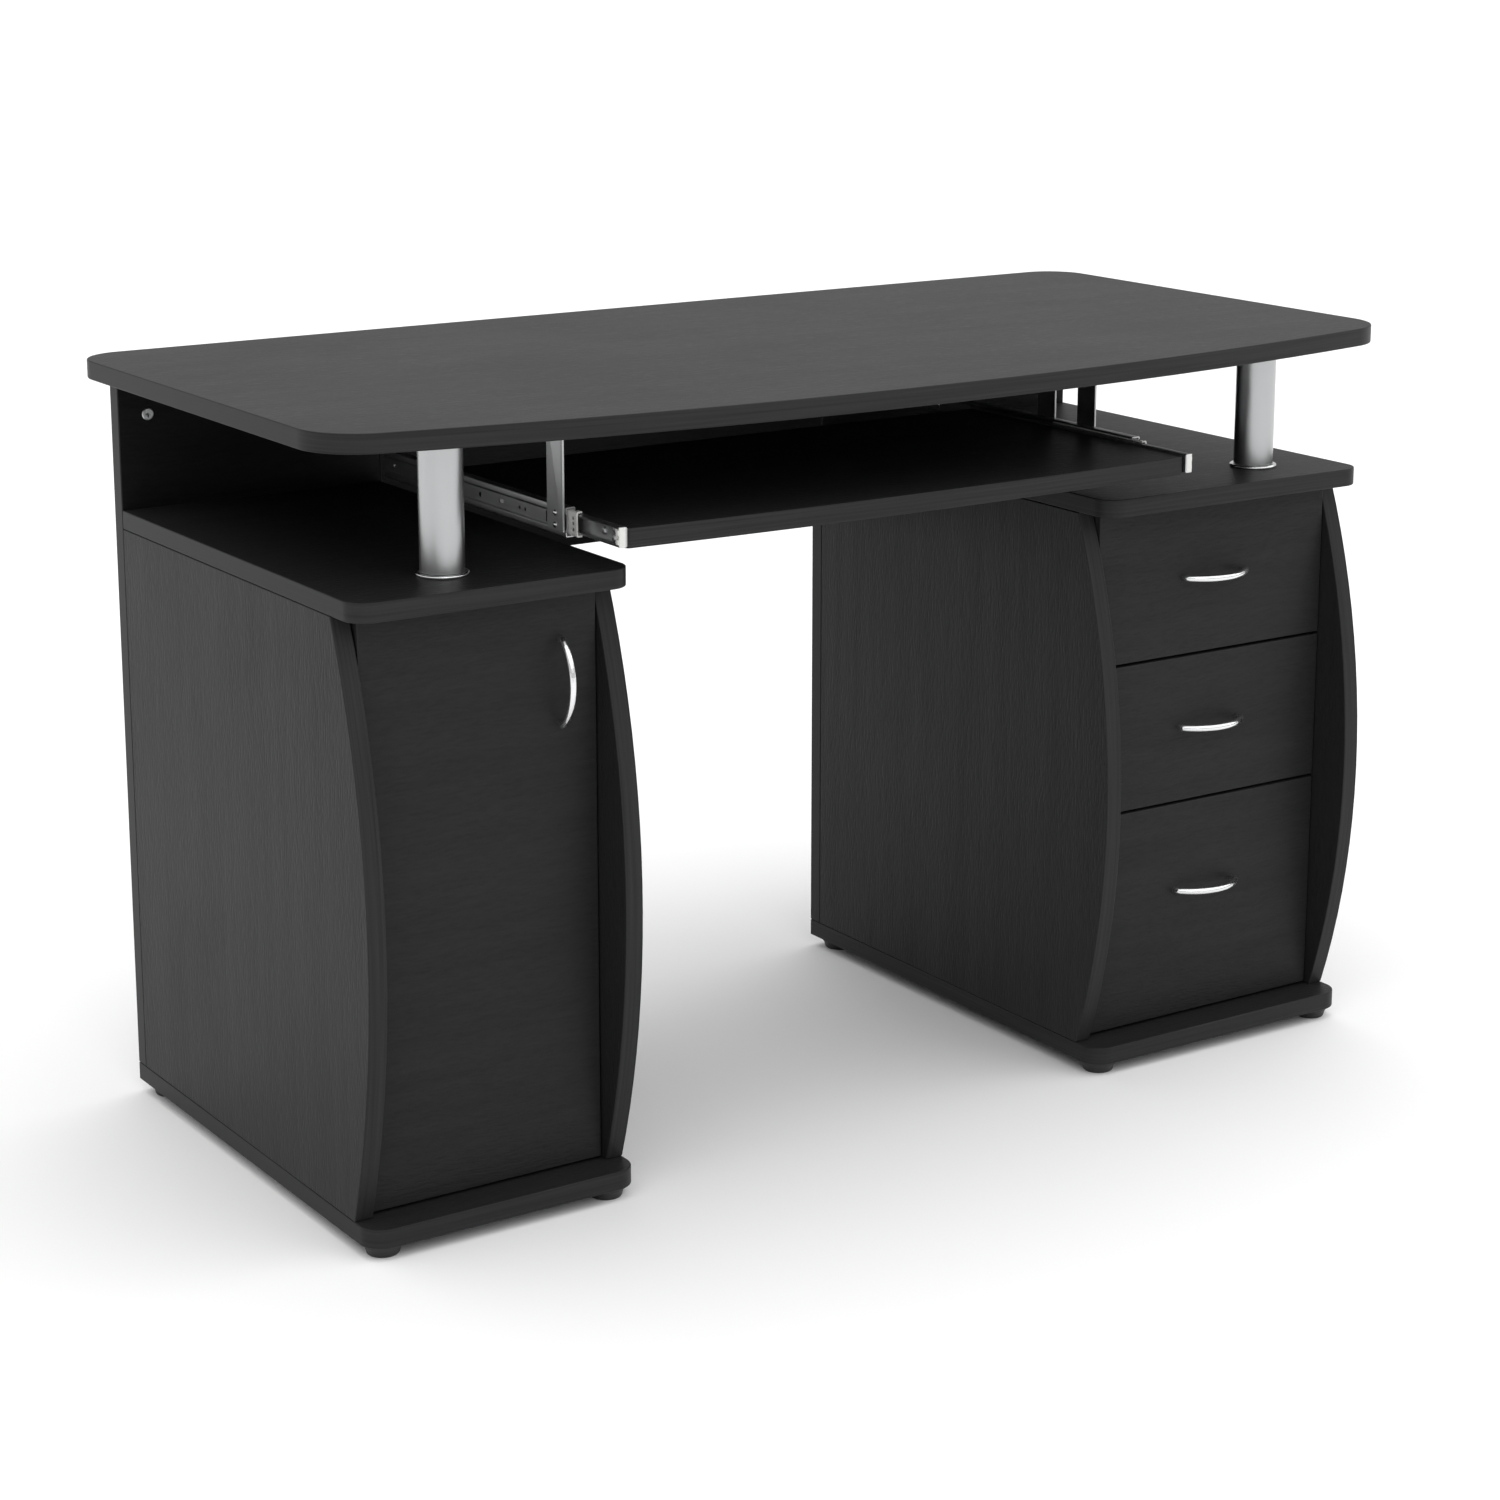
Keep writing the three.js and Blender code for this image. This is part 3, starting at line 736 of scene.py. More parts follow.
# ---- geometry node trees -----------------------------------------------------------------------
FACING = "facing"
ROW_INPUTS = {
    "Geometry": "Geometry",
    "Count": "Int",
    "Step": "Vector",
    "Diameter": "Float",
    "Height": "Float",
    "Material": "Material",
}


def row_points(tree, given):
    """Each starting point repeated Count times, one Step apart."""
    line = add_node(
    tree, "GeometryNodeMeshLine", {
        "Count": given["Count"], "Offset": given["Step"]})
    rows = add_node(
    tree, "GeometryNodeInstanceOnPoints", {
        "Points": given["Geometry"], "Instance": line.outputs["Mesh"]} )
    return add_node(tree, "GeometryNodeRealizeInstances", {
                    "Geometry": rows.outputs["Instances"]}).outputs[0]


def place_heads(tree, given, result, head):
    """Stands a head on every point of the rows, turned to face the point's own way."""
    facing = add_node(
        tree, "GeometryNodeInputNamedAttribute", {"Name": FACING}, data_type="FLOAT_VECTOR"
    ).outputs["Attribute"]
    turn = add_node(tree, "FunctionNodeAlignRotationToVector",
                    {"Vector": facing}, axis="Z").outputs[0]
    heads = add_node(
        tree,
        "GeometryNodeInstanceOnPoints",
        {"Points": row_points(tree, given), "Instance": head, "Rotation": turn},
    )
    real = add_node(tree, "GeometryNodeRealizeInstances", {"Geometry": heads.outputs["Instances"]})
    finished = add_node(
    tree, "GeometryNodeSetMaterial", {
        "Geometry": real.outputs[0], "Material": given["Material"]} )
    tree.links.new(finished.outputs[0], result["Geometry"])


def screw_tree():
    """Heads with a cross recess: pan-head screws, and flat cam fittings with a wide top."""
    name = "Cross-head fasteners"
    if name in bpy.data.node_groups:
        return bpy.data.node_groups[name]
    inputs = {**ROW_INPUTS, "Top Share": "Float"}
    tree, given, result = new_group(name, "GeometryNodeTree", inputs, {"Geometry": "Geometry"})
    radius = math_node(tree, "MULTIPLY", given["Diameter"], 0.5)
    top = math_node(tree, "MULTIPLY", radius, given["Top Share"])
    skirt = math_node(tree, "MULTIPLY", given["Height"], 0.5)
    parts = {}
    for part, lower, upper, foot in (("skirt", radius, radius, 0.0), ("crown", radius, top, skirt)):
        cone = add_node(
            tree,
            "GeometryNodeMeshCone",
            {"Vertices": 20, "Radius Bottom": lower, "Radius Top": upper, "Depth": skirt},
        ).outputs["Mesh"]
        lift = add_node(tree, "ShaderNodeCombineXYZ", {"Z": foot}).outputs[0]
        parts[part] = add_node(
            tree, "GeometryNodeTransform", {"Geometry": cone, "Translation": lift}
        ).outputs[0]
    head = add_node(tree, "GeometryNodeMeshBoolean", {"Mesh 2": parts["skirt"]}, operation="UNION")
    tree.links.new(parts["crown"], head.inputs["Mesh 2"])
    long_side = math_node(tree, "MULTIPLY", given["Diameter"], 0.52)
    short_side = math_node(tree, "MULTIPLY", given["Diameter"], 0.13)
    recess = add_node(tree,
    "GeometryNodeMeshBoolean",
    {"Mesh 1": head.outputs["Mesh"]},
     operation="DIFFERENCE")
    lift = add_node(tree, "ShaderNodeCombineXYZ", {"Z": given["Height"]}).outputs[0]
    for x, y in ((long_side, short_side), (short_side, long_side)):
        size = add_node(
    tree, "ShaderNodeCombineXYZ", {
        "X": x, "Y": y, "Z": given["Height"]}).outputs[0]
        bar = add_node(tree, "GeometryNodeMeshCube", {"Size": size}).outputs["Mesh"]
        raised = add_node(
    tree, "GeometryNodeTransform", {
        "Geometry": bar, "Translation": lift}).outputs[0]
        tree.links.new(raised, recess.inputs["Mesh 2"])
    place_heads(tree, given, result, recess.outputs["Mesh"])
    return tree


def dome_tree():
    """Balls, and domes such as rivet heads where Height is less than half the Diameter."""
    name = "Balls and domes"
    if name in bpy.data.node_groups:
        return bpy.data.node_groups[name]
    tree, given, result = new_group(name, "GeometryNodeTree", ROW_INPUTS, {"Geometry": "Geometry"})
    radius = math_node(tree, "MULTIPLY", given["Diameter"], 0.5)
    ball = add_node(
    tree, "GeometryNodeMeshUVSphere", {
        "Segments": 16, "Rings": 8, "Radius": radius})
    flatten = math_node(tree, "DIVIDE", given["Height"], radius)
    scale = add_node(tree, "ShaderNodeCombineXYZ", {"X": 1.0, "Y": 1.0, "Z": flatten}).outputs[0]
    dome = add_node(
    tree, "GeometryNodeTransform", {
        "Geometry": ball.outputs["Mesh"], "Scale": scale})
    place_heads(tree, given, result, dome.outputs[0])
    return tree


def swept_rod_tree():
    """A round rod that follows the seed's line, its corners eased and its ends flat."""
    name = "Swept rod"
    if name in bpy.data.node_groups:
        return bpy.data.node_groups[name]
    inputs = {
        "Geometry": "Geometry",
        "Rod Diameter": "Float",
        "Corner Radius": "Float",
        "Material": "Material",
    }
    tree, given, result = new_group(name, "GeometryNodeTree", inputs, {"Geometry": "Geometry"})
    line = add_node(tree, "GeometryNodeMeshToCurve", {"Mesh": given["Geometry"]}).outputs["Curve"]
    eased = add_node(
        tree,
        "GeometryNodeFilletCurve",
        {"Curve": line, "Radius": given["Corner Radius"], "Limit Radius": True, "Count": 4},
        mode="POLY",
    )
    rod_radius = math_node(tree, "MULTIPLY", given["Rod Diameter"], 0.5)
    ring = add_node(tree, "GeometryNodeCurvePrimitiveCircle",
                    {"Resolution": 24, "Radius": rod_radius})
    rod = add_node( tree,
    "GeometryNodeCurveToMesh",
    {"Curve": eased.outputs["Curve"],
    "Profile Curve": ring.outputs["Curve"],
    "Fill Caps": True},
     )
    finished = add_node(
    tree, "GeometryNodeSetMaterial", {
        "Geometry": rod.outputs["Mesh"], "Material": given["Material"]} )
    tree.links.new(finished.outputs[0], result["Geometry"])
    return tree


def grow(tree, base, inputs):
    """Runs a geometry node tree on a mesh of starting points and returns the mesh it makes."""
    seed = add_object("seed", base)
    modifier = seed.modifiers.new("Nodes", "NODES")
    modifier.node_group = tree
    identifiers = {
    item.name: item.identifier for item in tree.interface.items_tree if item.in_out == "INPUT"}
    for name, value in inputs.items():
        modifier[identifiers[name]] = value
    mesh = evaluated_mesh(seed)
    seed.modifiers.remove(modifier)
    bpy.data.objects.remove(seed)
    smooth(mesh)
    return mesh


def line_mesh(points):
    """A line of connected points for the rod tree to follow."""
    base = bpy.data.meshes.new("line")
    base.from_pydata(points, [(index, index + 1) for index in range(len(points) - 1)], [])
    return base


def points_mesh(points):
    """Starting points, given as (place, facing), for the row trees."""
    base = bpy.data.meshes.new("points")
    base.from_pydata([place for place, _ in points], [], [])
    facing = base.attributes.new(FACING, "FLOAT_VECTOR", "POINT")
    for index, (_, way) in enumerate(points):
        facing.data[index].vector = way
    return base


def add_fasteners(
    name,
    body,
    points,
    tree,
    material,
    diameter,
    height,
    count=1,
    step=(
        0,
        0,
        0),
         top=None):
    """One piece that holds every like fastener of a body."""
    inputs = {
        "Count": count,
        "Step": Vector(step),
        "Diameter": diameter,
        "Height": height,
        "Material": material,
    }
    if top is not None:
        inputs["Top Share"] = top
    mesh = grow(tree, points_mesh(points), inputs)
    if FACING in mesh.attributes:
        mesh.attributes.remove(mesh.attributes[FACING])
    mesh.name = name
    return add_piece(name, mesh, body)


def add_screws(name, body, points):
    hardware = settings("hardware")
    return add_fasteners(
        name,
        body,
        points,
        screw_tree(),
        finish("zinc_plate"),
        hardware.screw_head,
        hardware.screw_rise,
        top=0.62,
    )


# ---- boards ------------------------------------------------------------------------------------
# Each board's grain direction. Side panels carry it upright, everything else along the desk.
GRAIN = {
    **{f"{side}_side_panel_{way}": "z" for side in SIDES for way in ("west", "east")},
}
FRAME_BOARDS = (
    "desktop",
    *(f"{side}_{part}" for side in SIDES for part in ("base", "pedestal_top", "back_panel")),
    *(f"{side}_side_panel_{way}" for side in SIDES for way in ("west", "east")),
    "modesty_panel",
    "cupboard_shelf",
)
MOVING_BOARDS = ("cupboard_door", *(f"{drawer}_front" for drawer in DRAWERS), "keyboard_tray")
DRAWER_BOARDS = tuple(f"{drawer}_{part}" for drawer in DRAWERS for part in ("wrap", "bottom"))


def merged_copy(node):
    """A CAD node's shape with its loose triangles joined and its flat faces made whole."""
    bm = bmesh.new()
    bm.from_mesh(NODES[node].data)
    bmesh.ops.remove_doubles(bm, verts=bm.verts, dist=0.01 * MM)
    flat = math.radians(0.3)
    bmesh.ops.dissolve_limit(bm, angle_limit=flat, verts=bm.verts, edges=bm.edges)
    return bm


def slot_of(node):
    """The material slot that the record gives the node."""
    return SLOTS[node]


def add_board(node, face, edge_kind, radius):
    """Stands a banded, rounded board in for a CAD board."""
    low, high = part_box(node)
    size = high - low
    thin = "xyz"[min(range(3), key=lambda axis: size[axis])]
    bm = merged_copy(node)
    for item in bm.faces:
        item.material_index = 0 if abs(item.normal.dot(AXES[thin])) > 0.99 else 1
    mesh = mesh_from(bm, f"{node}_board", face, finish(edge_kind, thin))
    piece = add_piece(f"{node}_board", mesh, body_of(node), [node])
    soften(piece, radius, settings("boards").segments).material = EDGE_SLOT
    return piece


class DESK_OT_boards(bpy.types.Operator):
    """Make the desktop, pedestals, door, drawer fronts and tray"""

    bl_idname = "desk.boards"
    bl_label = "Boards"

    def execute(self, context):
        radius = settings("boards").edge_radius
        for node in FRAME_BOARDS + MOVING_BOARDS:
            kind = "carcass" if slot_of(node) == "carcass_board" else "melamine"
            add_board(node, finish(kind, GRAIN.get(node, "x")), "edge_band", radius)
        return {"FINISHED"}


class DESK_OT_drawer_boxes(bpy.types.Operator):
    """Make the drawers' sides and bottoms"""

    bl_idname = "desk.drawer_boxes"
    bl_label = "Drawer boxes"

    def execute(self, context):
        radius = settings("boards").thin_radius
        for node in DRAWER_BOARDS:
            bm = merged_copy(node)
            mesh = mesh_from(bm, f"{node}_board", finish("drawer_foil"))
            piece = add_piece(f"{node}_board", mesh, body_of(node), [node])
            soften(piece, radius, segments=2)
        return {"FINISHED"}


# ---- posts and feet ----------------------------------------------------------------------------
class DESK_OT_posts(bpy.types.Operator):
    """Make the satin posts and the rings they stand in"""

    bl_idname = "desk.posts"
    bl_label = "Posts"

    def execute(self, context):
        for side in SIDES:
            low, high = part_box(f"{side}_post")
            centre = Vector(((low.x + high.x) / 2, (low.y + high.y) / 2, 0))
            outer = (high.x - low.x) / 2
            inner = outer - 1.5 * MM
            lip = 0.5 * MM
            bm = bmesh.new()
            profile = [
                (outer - lip, low.z),
                (outer, low.z + lip),
                (outer, high.z - lip),
                (outer - lip, high.z),
                (inner, high.z),
                (inner, low.z),
            ]
            revolve(bm, profile, centre, segments=96, closed=True)
            mesh = mesh_from(bm, f"{side}_post_tube", finish("satin_tube"))
            add_piece(f"{side}_post_tube", mesh, "frame", [f"{side}_post"])
            self.add_ring(side, centre, outer)
        return {"FINISHED"}

    def add_ring(self, side, centre, post_radius):
        low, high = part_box(f"{side}_post_flange")
        radius, rise = (high.x - low.x) / 2, high.z - low.z
        corner = rise * 0.55
        bm = bmesh.new()
        profile = [(0, low.z), (radius - 0.3 * MM, low.z)]
        profile += arc((radius - corner, low.z + rise - corner), corner, -10, 90, 6)
        profile += [(post_radius + 0.4 * MM, low.z + rise), (post_radius - \
                     0.6 * MM, low.z + rise * 0.8), (0, low.z + rise * 0.8)]
        revolve(bm, profile, centre, segments=96)
        mesh = mesh_from(bm, f"{side}_post_ring", finish("satin_chrome"))
        add_piece(f"{side}_post_ring", mesh, "frame", [f"{side}_post_flange"])


class DESK_OT_feet(bpy.types.Operator):
    """Make the eight moulded glides"""

    bl_idname = "desk.feet"
    bl_label = "Feet"

    def execute(self, context):
        for side in SIDES:
            for corner in ("front_west", "front_east", "rear_west", "rear_east"):
                self.add_foot(f"{side}_foot_{corner}")
        return {"FINISHED"}

    def add_foot(self, node):
        low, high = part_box(node)
        centre = Vector(((low.x + high.x) / 2, (low.y + high.y) / 2, 0))
        top_radius, height = (high.x - low.x) / 2, high.z - low.z
        sole_radius, rounding = top_radius * 0.84, 2 * MM
        profile = [(0, 0.3 * MM), (sole_radius * 0.55, 0.3 * MM), (sole_radius * 0.6, 0)]
        profile += arc((sole_radius - rounding, rounding), rounding, -90, -8, 4)
        profile += [
            (top_radius - 1.2 * MM, height * 0.62),
            (top_radius - 0.3 * MM, height * 0.68),
            (top_radius, height * 0.74),
            (top_radius, height - 0.5 * MM),
            (top_radius - 0.5 * MM, height),
            (0, height),
        ]
        bm = bmesh.new()
        revolve(bm, profile, centre, segments=48)
        mesh = mesh_from(bm, f"{node}_glide", finish("black_plastic"))
        add_piece(f"{node}_glide", mesh, "frame", [node])


# ---- handles -----------------------------------------------------------------------------------
class DESK_OT_handles(bpy.types.Operator):
    """Make the four bow handles and the screws behind them"""

    bl_idname = "desk.handles"
    bl_label = "Handles"

    def execute(self, context):
        self.add_handle("door_handle", "cupboard_door", upright=True)
        for drawer in DRAWERS:
            self.add_handle(f"{drawer}_handle", f"{drawer}_front", upright=False)
        return {"FINISHED"}

    def add_handle(self, node, board, upright):
        """A rod on two short legs, bowed forward between them."""
        low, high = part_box(node)
        size = high - low
        span, rod = (size.z, size.x) if upright else (size.x, size.z)
        projection = size.y - rod / 2
        half = (span - rod) / 2
        leg = settings("hardware").handle_leg
        bulge = projection - leg
        radius = (half**2 + bulge**2) / (2 * bulge)
        reach = math.degrees(math.asin(half / radius))
        bow = arc((0, bulge - radius), radius, 90 + reach, 90 - reach, 22)
        line = [Vector((-half, 0, 0))]
        line += [Vector((x, -leg - y, 0)) for x, y in bow]
        line.append(Vector((half, 0, 0)))
        inputs = {
    "Rod Diameter": rod,
    "Corner Radius": rod * 0.6,
     "Material": finish("satin_chrome")}
        mesh = grow(swept_rod_tree(), line_mesh(line), inputs)
        middle = (low + high) / 2
        turn = Matrix.Rotation(math.pi / 2, 4, "Y") if upright else Matrix.Identity(4)
        mesh.transform(Matrix.Translation((middle.x, high.y, middle.z)) @ turn)
        mesh.name = f"{node}_rod"
        add_piece(f"{node}_rod", mesh, body_of(node), [node])
        board_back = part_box(board)[1].y
        along = Z_AXIS if upright else X_AXIS
        points = [(Vector((middle.x, board_back, middle.z)) + along * way * half, Y_AXIS)
                   for way in (-1, 1)]
        add_screws(f"{node}_screws", body_of(node), points)


# ---- hinges ------------------------------------------------------------------------------------
class DESK_OT_hinges(bpy.types.Operator):
    """Make the cup hinges: cups on the door, arms and wing plates on the panel"""

    bl_idname = "desk.hinges"
    bl_label = "Hinges"

    def execute(self, context):
        for level in HINGE_LEVELS:
            self.add_cup(level)
            self.add_arm(level)
        return {"FINISHED"}

    def add_cup(self, level):
        node = f"door_hinge_cup_{level}"
        low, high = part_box(node)
        door_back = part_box("cupboard_door")[1].y
        centre = Vector(((low.x + high.x) / 2, door_back, (low.z + high.z) / 2))
        depth, rim = door_back - low.y, high.y - door_back
        cup = (high.x - low.x) / 2 - 3 * MM
        wall = 1.0 * MM
        bm = bmesh.new()
        profile = [(0, -depth)]
        profile += arc((cup - 2 * MM, -depth + 2 * MM), 2 * MM, -90, 0, 4)
        profile += [(cup, 0.3 * MM), (cup + 1.6 * MM, 0.3 * MM), (cup + 1.6 * MM, rim - 0.4 * MM)]
        profile += [(cup + 1.2 * MM, rim), (cup - wall, rim)]
        profile += arc((cup - 2 * MM - wall, -depth + 2 * MM + wall), 2 * MM, 0, -90, 4)
        profile += [(0, -depth + wall)]
        revolve(bm, profile, centre, Y_AXIS, segments=64)
        wing = 10 * MM
        for way in (-1, 1):
            edge = centre.z + way * (cup + 0.4 * MM)
            ends = sorted((edge, edge + way * wing))
            plate_low = Vector((centre.x - 8 * MM, door_back + 0.1 * MM, ends[0]))
            plate_high = Vector((centre.x + 4 * MM, door_back + rim - 0.2 * MM, ends[1]))
            box(bm, plate_low, plate_high, 0.4 * MM)
        mesh = mesh_from(bm, f"{node}_pressing", finish("zinc_plate"))
        add_piece(f"{node}_pressing", mesh, "door", [node])
        screw_x, screw_y = centre.x - 2 * MM, door_back + rim - 0.3 * MM
        points = [
            (Vector((screw_x, screw_y, centre.z + way * (cup + 5.5 * MM))), Y_AXIS)
            for way in (-1, 1)
        ]
        add_screws(f"{node}_screws", "door", points)

    def add_arm(self, level):
        node = f"door_hinge_arm_{level}"
        low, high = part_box(node)
        middle = (low.z + high.z) / 2
        half = (high.z - low.z) / 2
        nose = low.y + 5 * MM
        line = [
            (high.x - 2 * MM, nose),
            (low.x + 15 * MM, nose + 3 * MM),
            (low.x + 11 * MM, nose + 17 * MM),
            (low.x + 11 * MM, high.y - 4 * MM),
        ]
        outline = sheet_outline(line, 4 * MM, 1.6 * MM)
        bm = bmesh.new()
        prism(bm, outline, middle - half * 0.8, middle + half * 0.8, lambda a, b, t: (a, b, t))
        for way in (-1, 1):
            cheek_z = sorted((middle + way * half * 0.8, middle + way * half))
            cheek_low = Vector((low.x + 3 * MM, nose + 16 * MM, cheek_z[0]))
            box(bm, cheek_low, Vector((low.x + 11.5 * MM, high.y - 6 * MM, cheek_z[1])), 0.4 * MM)
        plate_low = Vector((low.x, high.y - 44 * MM, middle - 24 * MM))
        box(bm, plate_low, Vector((low.x + 2 * MM, high.y - 24 * MM, middle + 24 * MM)), 0.6 * MM)
        block_low = Vector((low.x + 1.5 * MM, high.y - 56 * MM, middle - half * 0.7))
        box(bm, block_low, Vector((low.x + 9 * MM, high.y - 8 * MM, middle + half * 0.7)), 0.8 * MM)
        mesh = mesh_from(bm, f"{node}_pressing", finish("zinc_plate"))
        add_piece(f"{node}_pressing", mesh, "frame", [node])
        plate_y = high.y - 34 * MM
        points = [(Vector((low.x + 2 * MM, plate_y, middle + way * 17 * MM)), X_AXIS)
                   for way in (-1, 1)]
        points += [
            (Vector((low.x + 11.8 * MM, high.y - back * MM, middle)), X_AXIS) for back in (14, 40)
        ]
        add_screws(f"{node}_screws", "frame", points)


# ---- drawer runners ----------------------------------------------------------------------------
class DESK_OT_runners(bpy.types.Operator):
    """Make the coated drawer runners with their rollers"""

    bl_idname = "desk.runners"
    bl_label = "Drawer runners"

    def execute(self, context):
        for drawer in DRAWERS:
            for way, side in (("west", 1), ("east", -1)):
                self.add_runner(drawer, way, side)
        return {"FINISHED"}

    def add_runner(self, drawer, way, inward):
        node = f"{drawer}_runner_{way}"
        low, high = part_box(node)
        wall = low.x if inward > 0 else high.x
        across = lambda a, b, t: (wall + inward * a, t, b)
        width, foot, head = high.x - low.x, low.z, high.z
        sheet = RAIL_SHEET
        line = [
            (width - 0.7 * MM, head - 3.2 * MM),
            (width - 0.7 * MM, head - sheet / 2),
            (sheet / 2, head - sheet / 2),
            (sheet / 2, foot + sheet / 2),
            (width - 0.7 * MM, foot + sheet / 2),
            (width - 0.7 * MM, foot + 3.2 * MM),
        ]
        bm = bmesh.new()
        prism(bm, sheet_outline(line, 1.4 * MM, sheet), low.y, high.y, across)
        mesh = mesh_from(bm, f"{node}_channel", finish("powder_coat"))
        add_piece(f"{node}_channel", mesh, "frame", [node])

        roller = settings("hardware").roller
        roller_z = foot + sheet + 0.6 * MM + roller / 2
        self.add_roller(
    f"{node}_front_roller",
    "frame",
    wall,
    inward,
    low.y + 12 * MM,
     roller_z - 0.3 * MM)
        self.add_roller(
    f"{node}_rear_roller",
    drawer,
    wall,
    inward,
    high.y - 14 * MM,
     roller_z + 0.9 * MM)

        wrap_low, wrap_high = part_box(f"{drawer}_wrap")
        gap = (wrap_low.x - wall) if inward > 0 else (wall - wrap_high.x)
        rail_x = gap - 0.9 * MM
        rail_z = roller_z + roller / 2 + 1.0 * MM
        rail = [(gap - 7.5 * MM, rail_z), (rail_x, rail_z), (rail_x, head - 4.2 * MM)]
        bm = bmesh.new()
        prism(
    bm,
    sheet_outline(
        rail,
        1.2 * MM,
        1.0 * MM),
        wrap_low.y + 2 * MM,
        high.y - 3 * MM,
         across)
        mesh = mesh_from(bm, f"{node}_rail", finish("powder_coat"))
        add_piece(f"{node}_rail", mesh, drawer)

        screw_y = [low.y + share * (high.y - low.y) for share in (0.12, 0.48, 0.86)]
        face = Vector((inward, 0, 0))
        points = [(Vector((wall + inward * sheet, y, (foot + head) / 2 + 7 * MM)), face)
                   for y in screw_y]
        hardware = settings("hardware")
        add_fasteners(
            f"{node}_screws",
            "frame",
            points,
            screw_tree(),
            finish("zinc_plate"),
            hardware.screw_head * 0.85,
            1.2 * MM,
            top=0.7,
        )

    def add_roller(self, name, body, wall, inward, y, z):
        radius = settings("hardware").roller / 2
        start, thickness = 3.6 * MM, 5.2 * MM
        profile = [(0, 0), (radius * 0.32, 0), (radius * 0.34,
                    0.5 * MM), (radius - 0.8 * MM, 0.5 * MM)]
        profile += arc((radius - 0.8 * MM, 1.3 * MM), 0.8 * MM, -90, 0, 3)
        profile += arc((radius - 0.8 * MM, thickness - 1.3 * MM), 0.8 * MM, 0, 90, 3)
        profile += [(radius * 0.34, thickness - 0.5 * MM),
                     (radius * 0.32, thickness), (0, thickness)]
        bm = bmesh.new()
        axis = Vector((inward, 0, 0))
        revolve(bm, profile, Vector((wall + inward * start, y, z)), axis, segments=32)
        mesh = mesh_from(bm, name, finish("white_nylon"))
        add_piece(name, mesh, body)


# ---- tray slides -------------------------------------------------------------------------------
def slide_section(node, edge):
    """A node's corners, mid-height, half height, and least and most reach from the tray's edge."""
    low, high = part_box(node)
    near, far = sorted((abs(low.x - edge), abs(high.x - edge)))
    return low, high, (low.z + high.z) / 2, (high.z - low.z) / 2, near, far


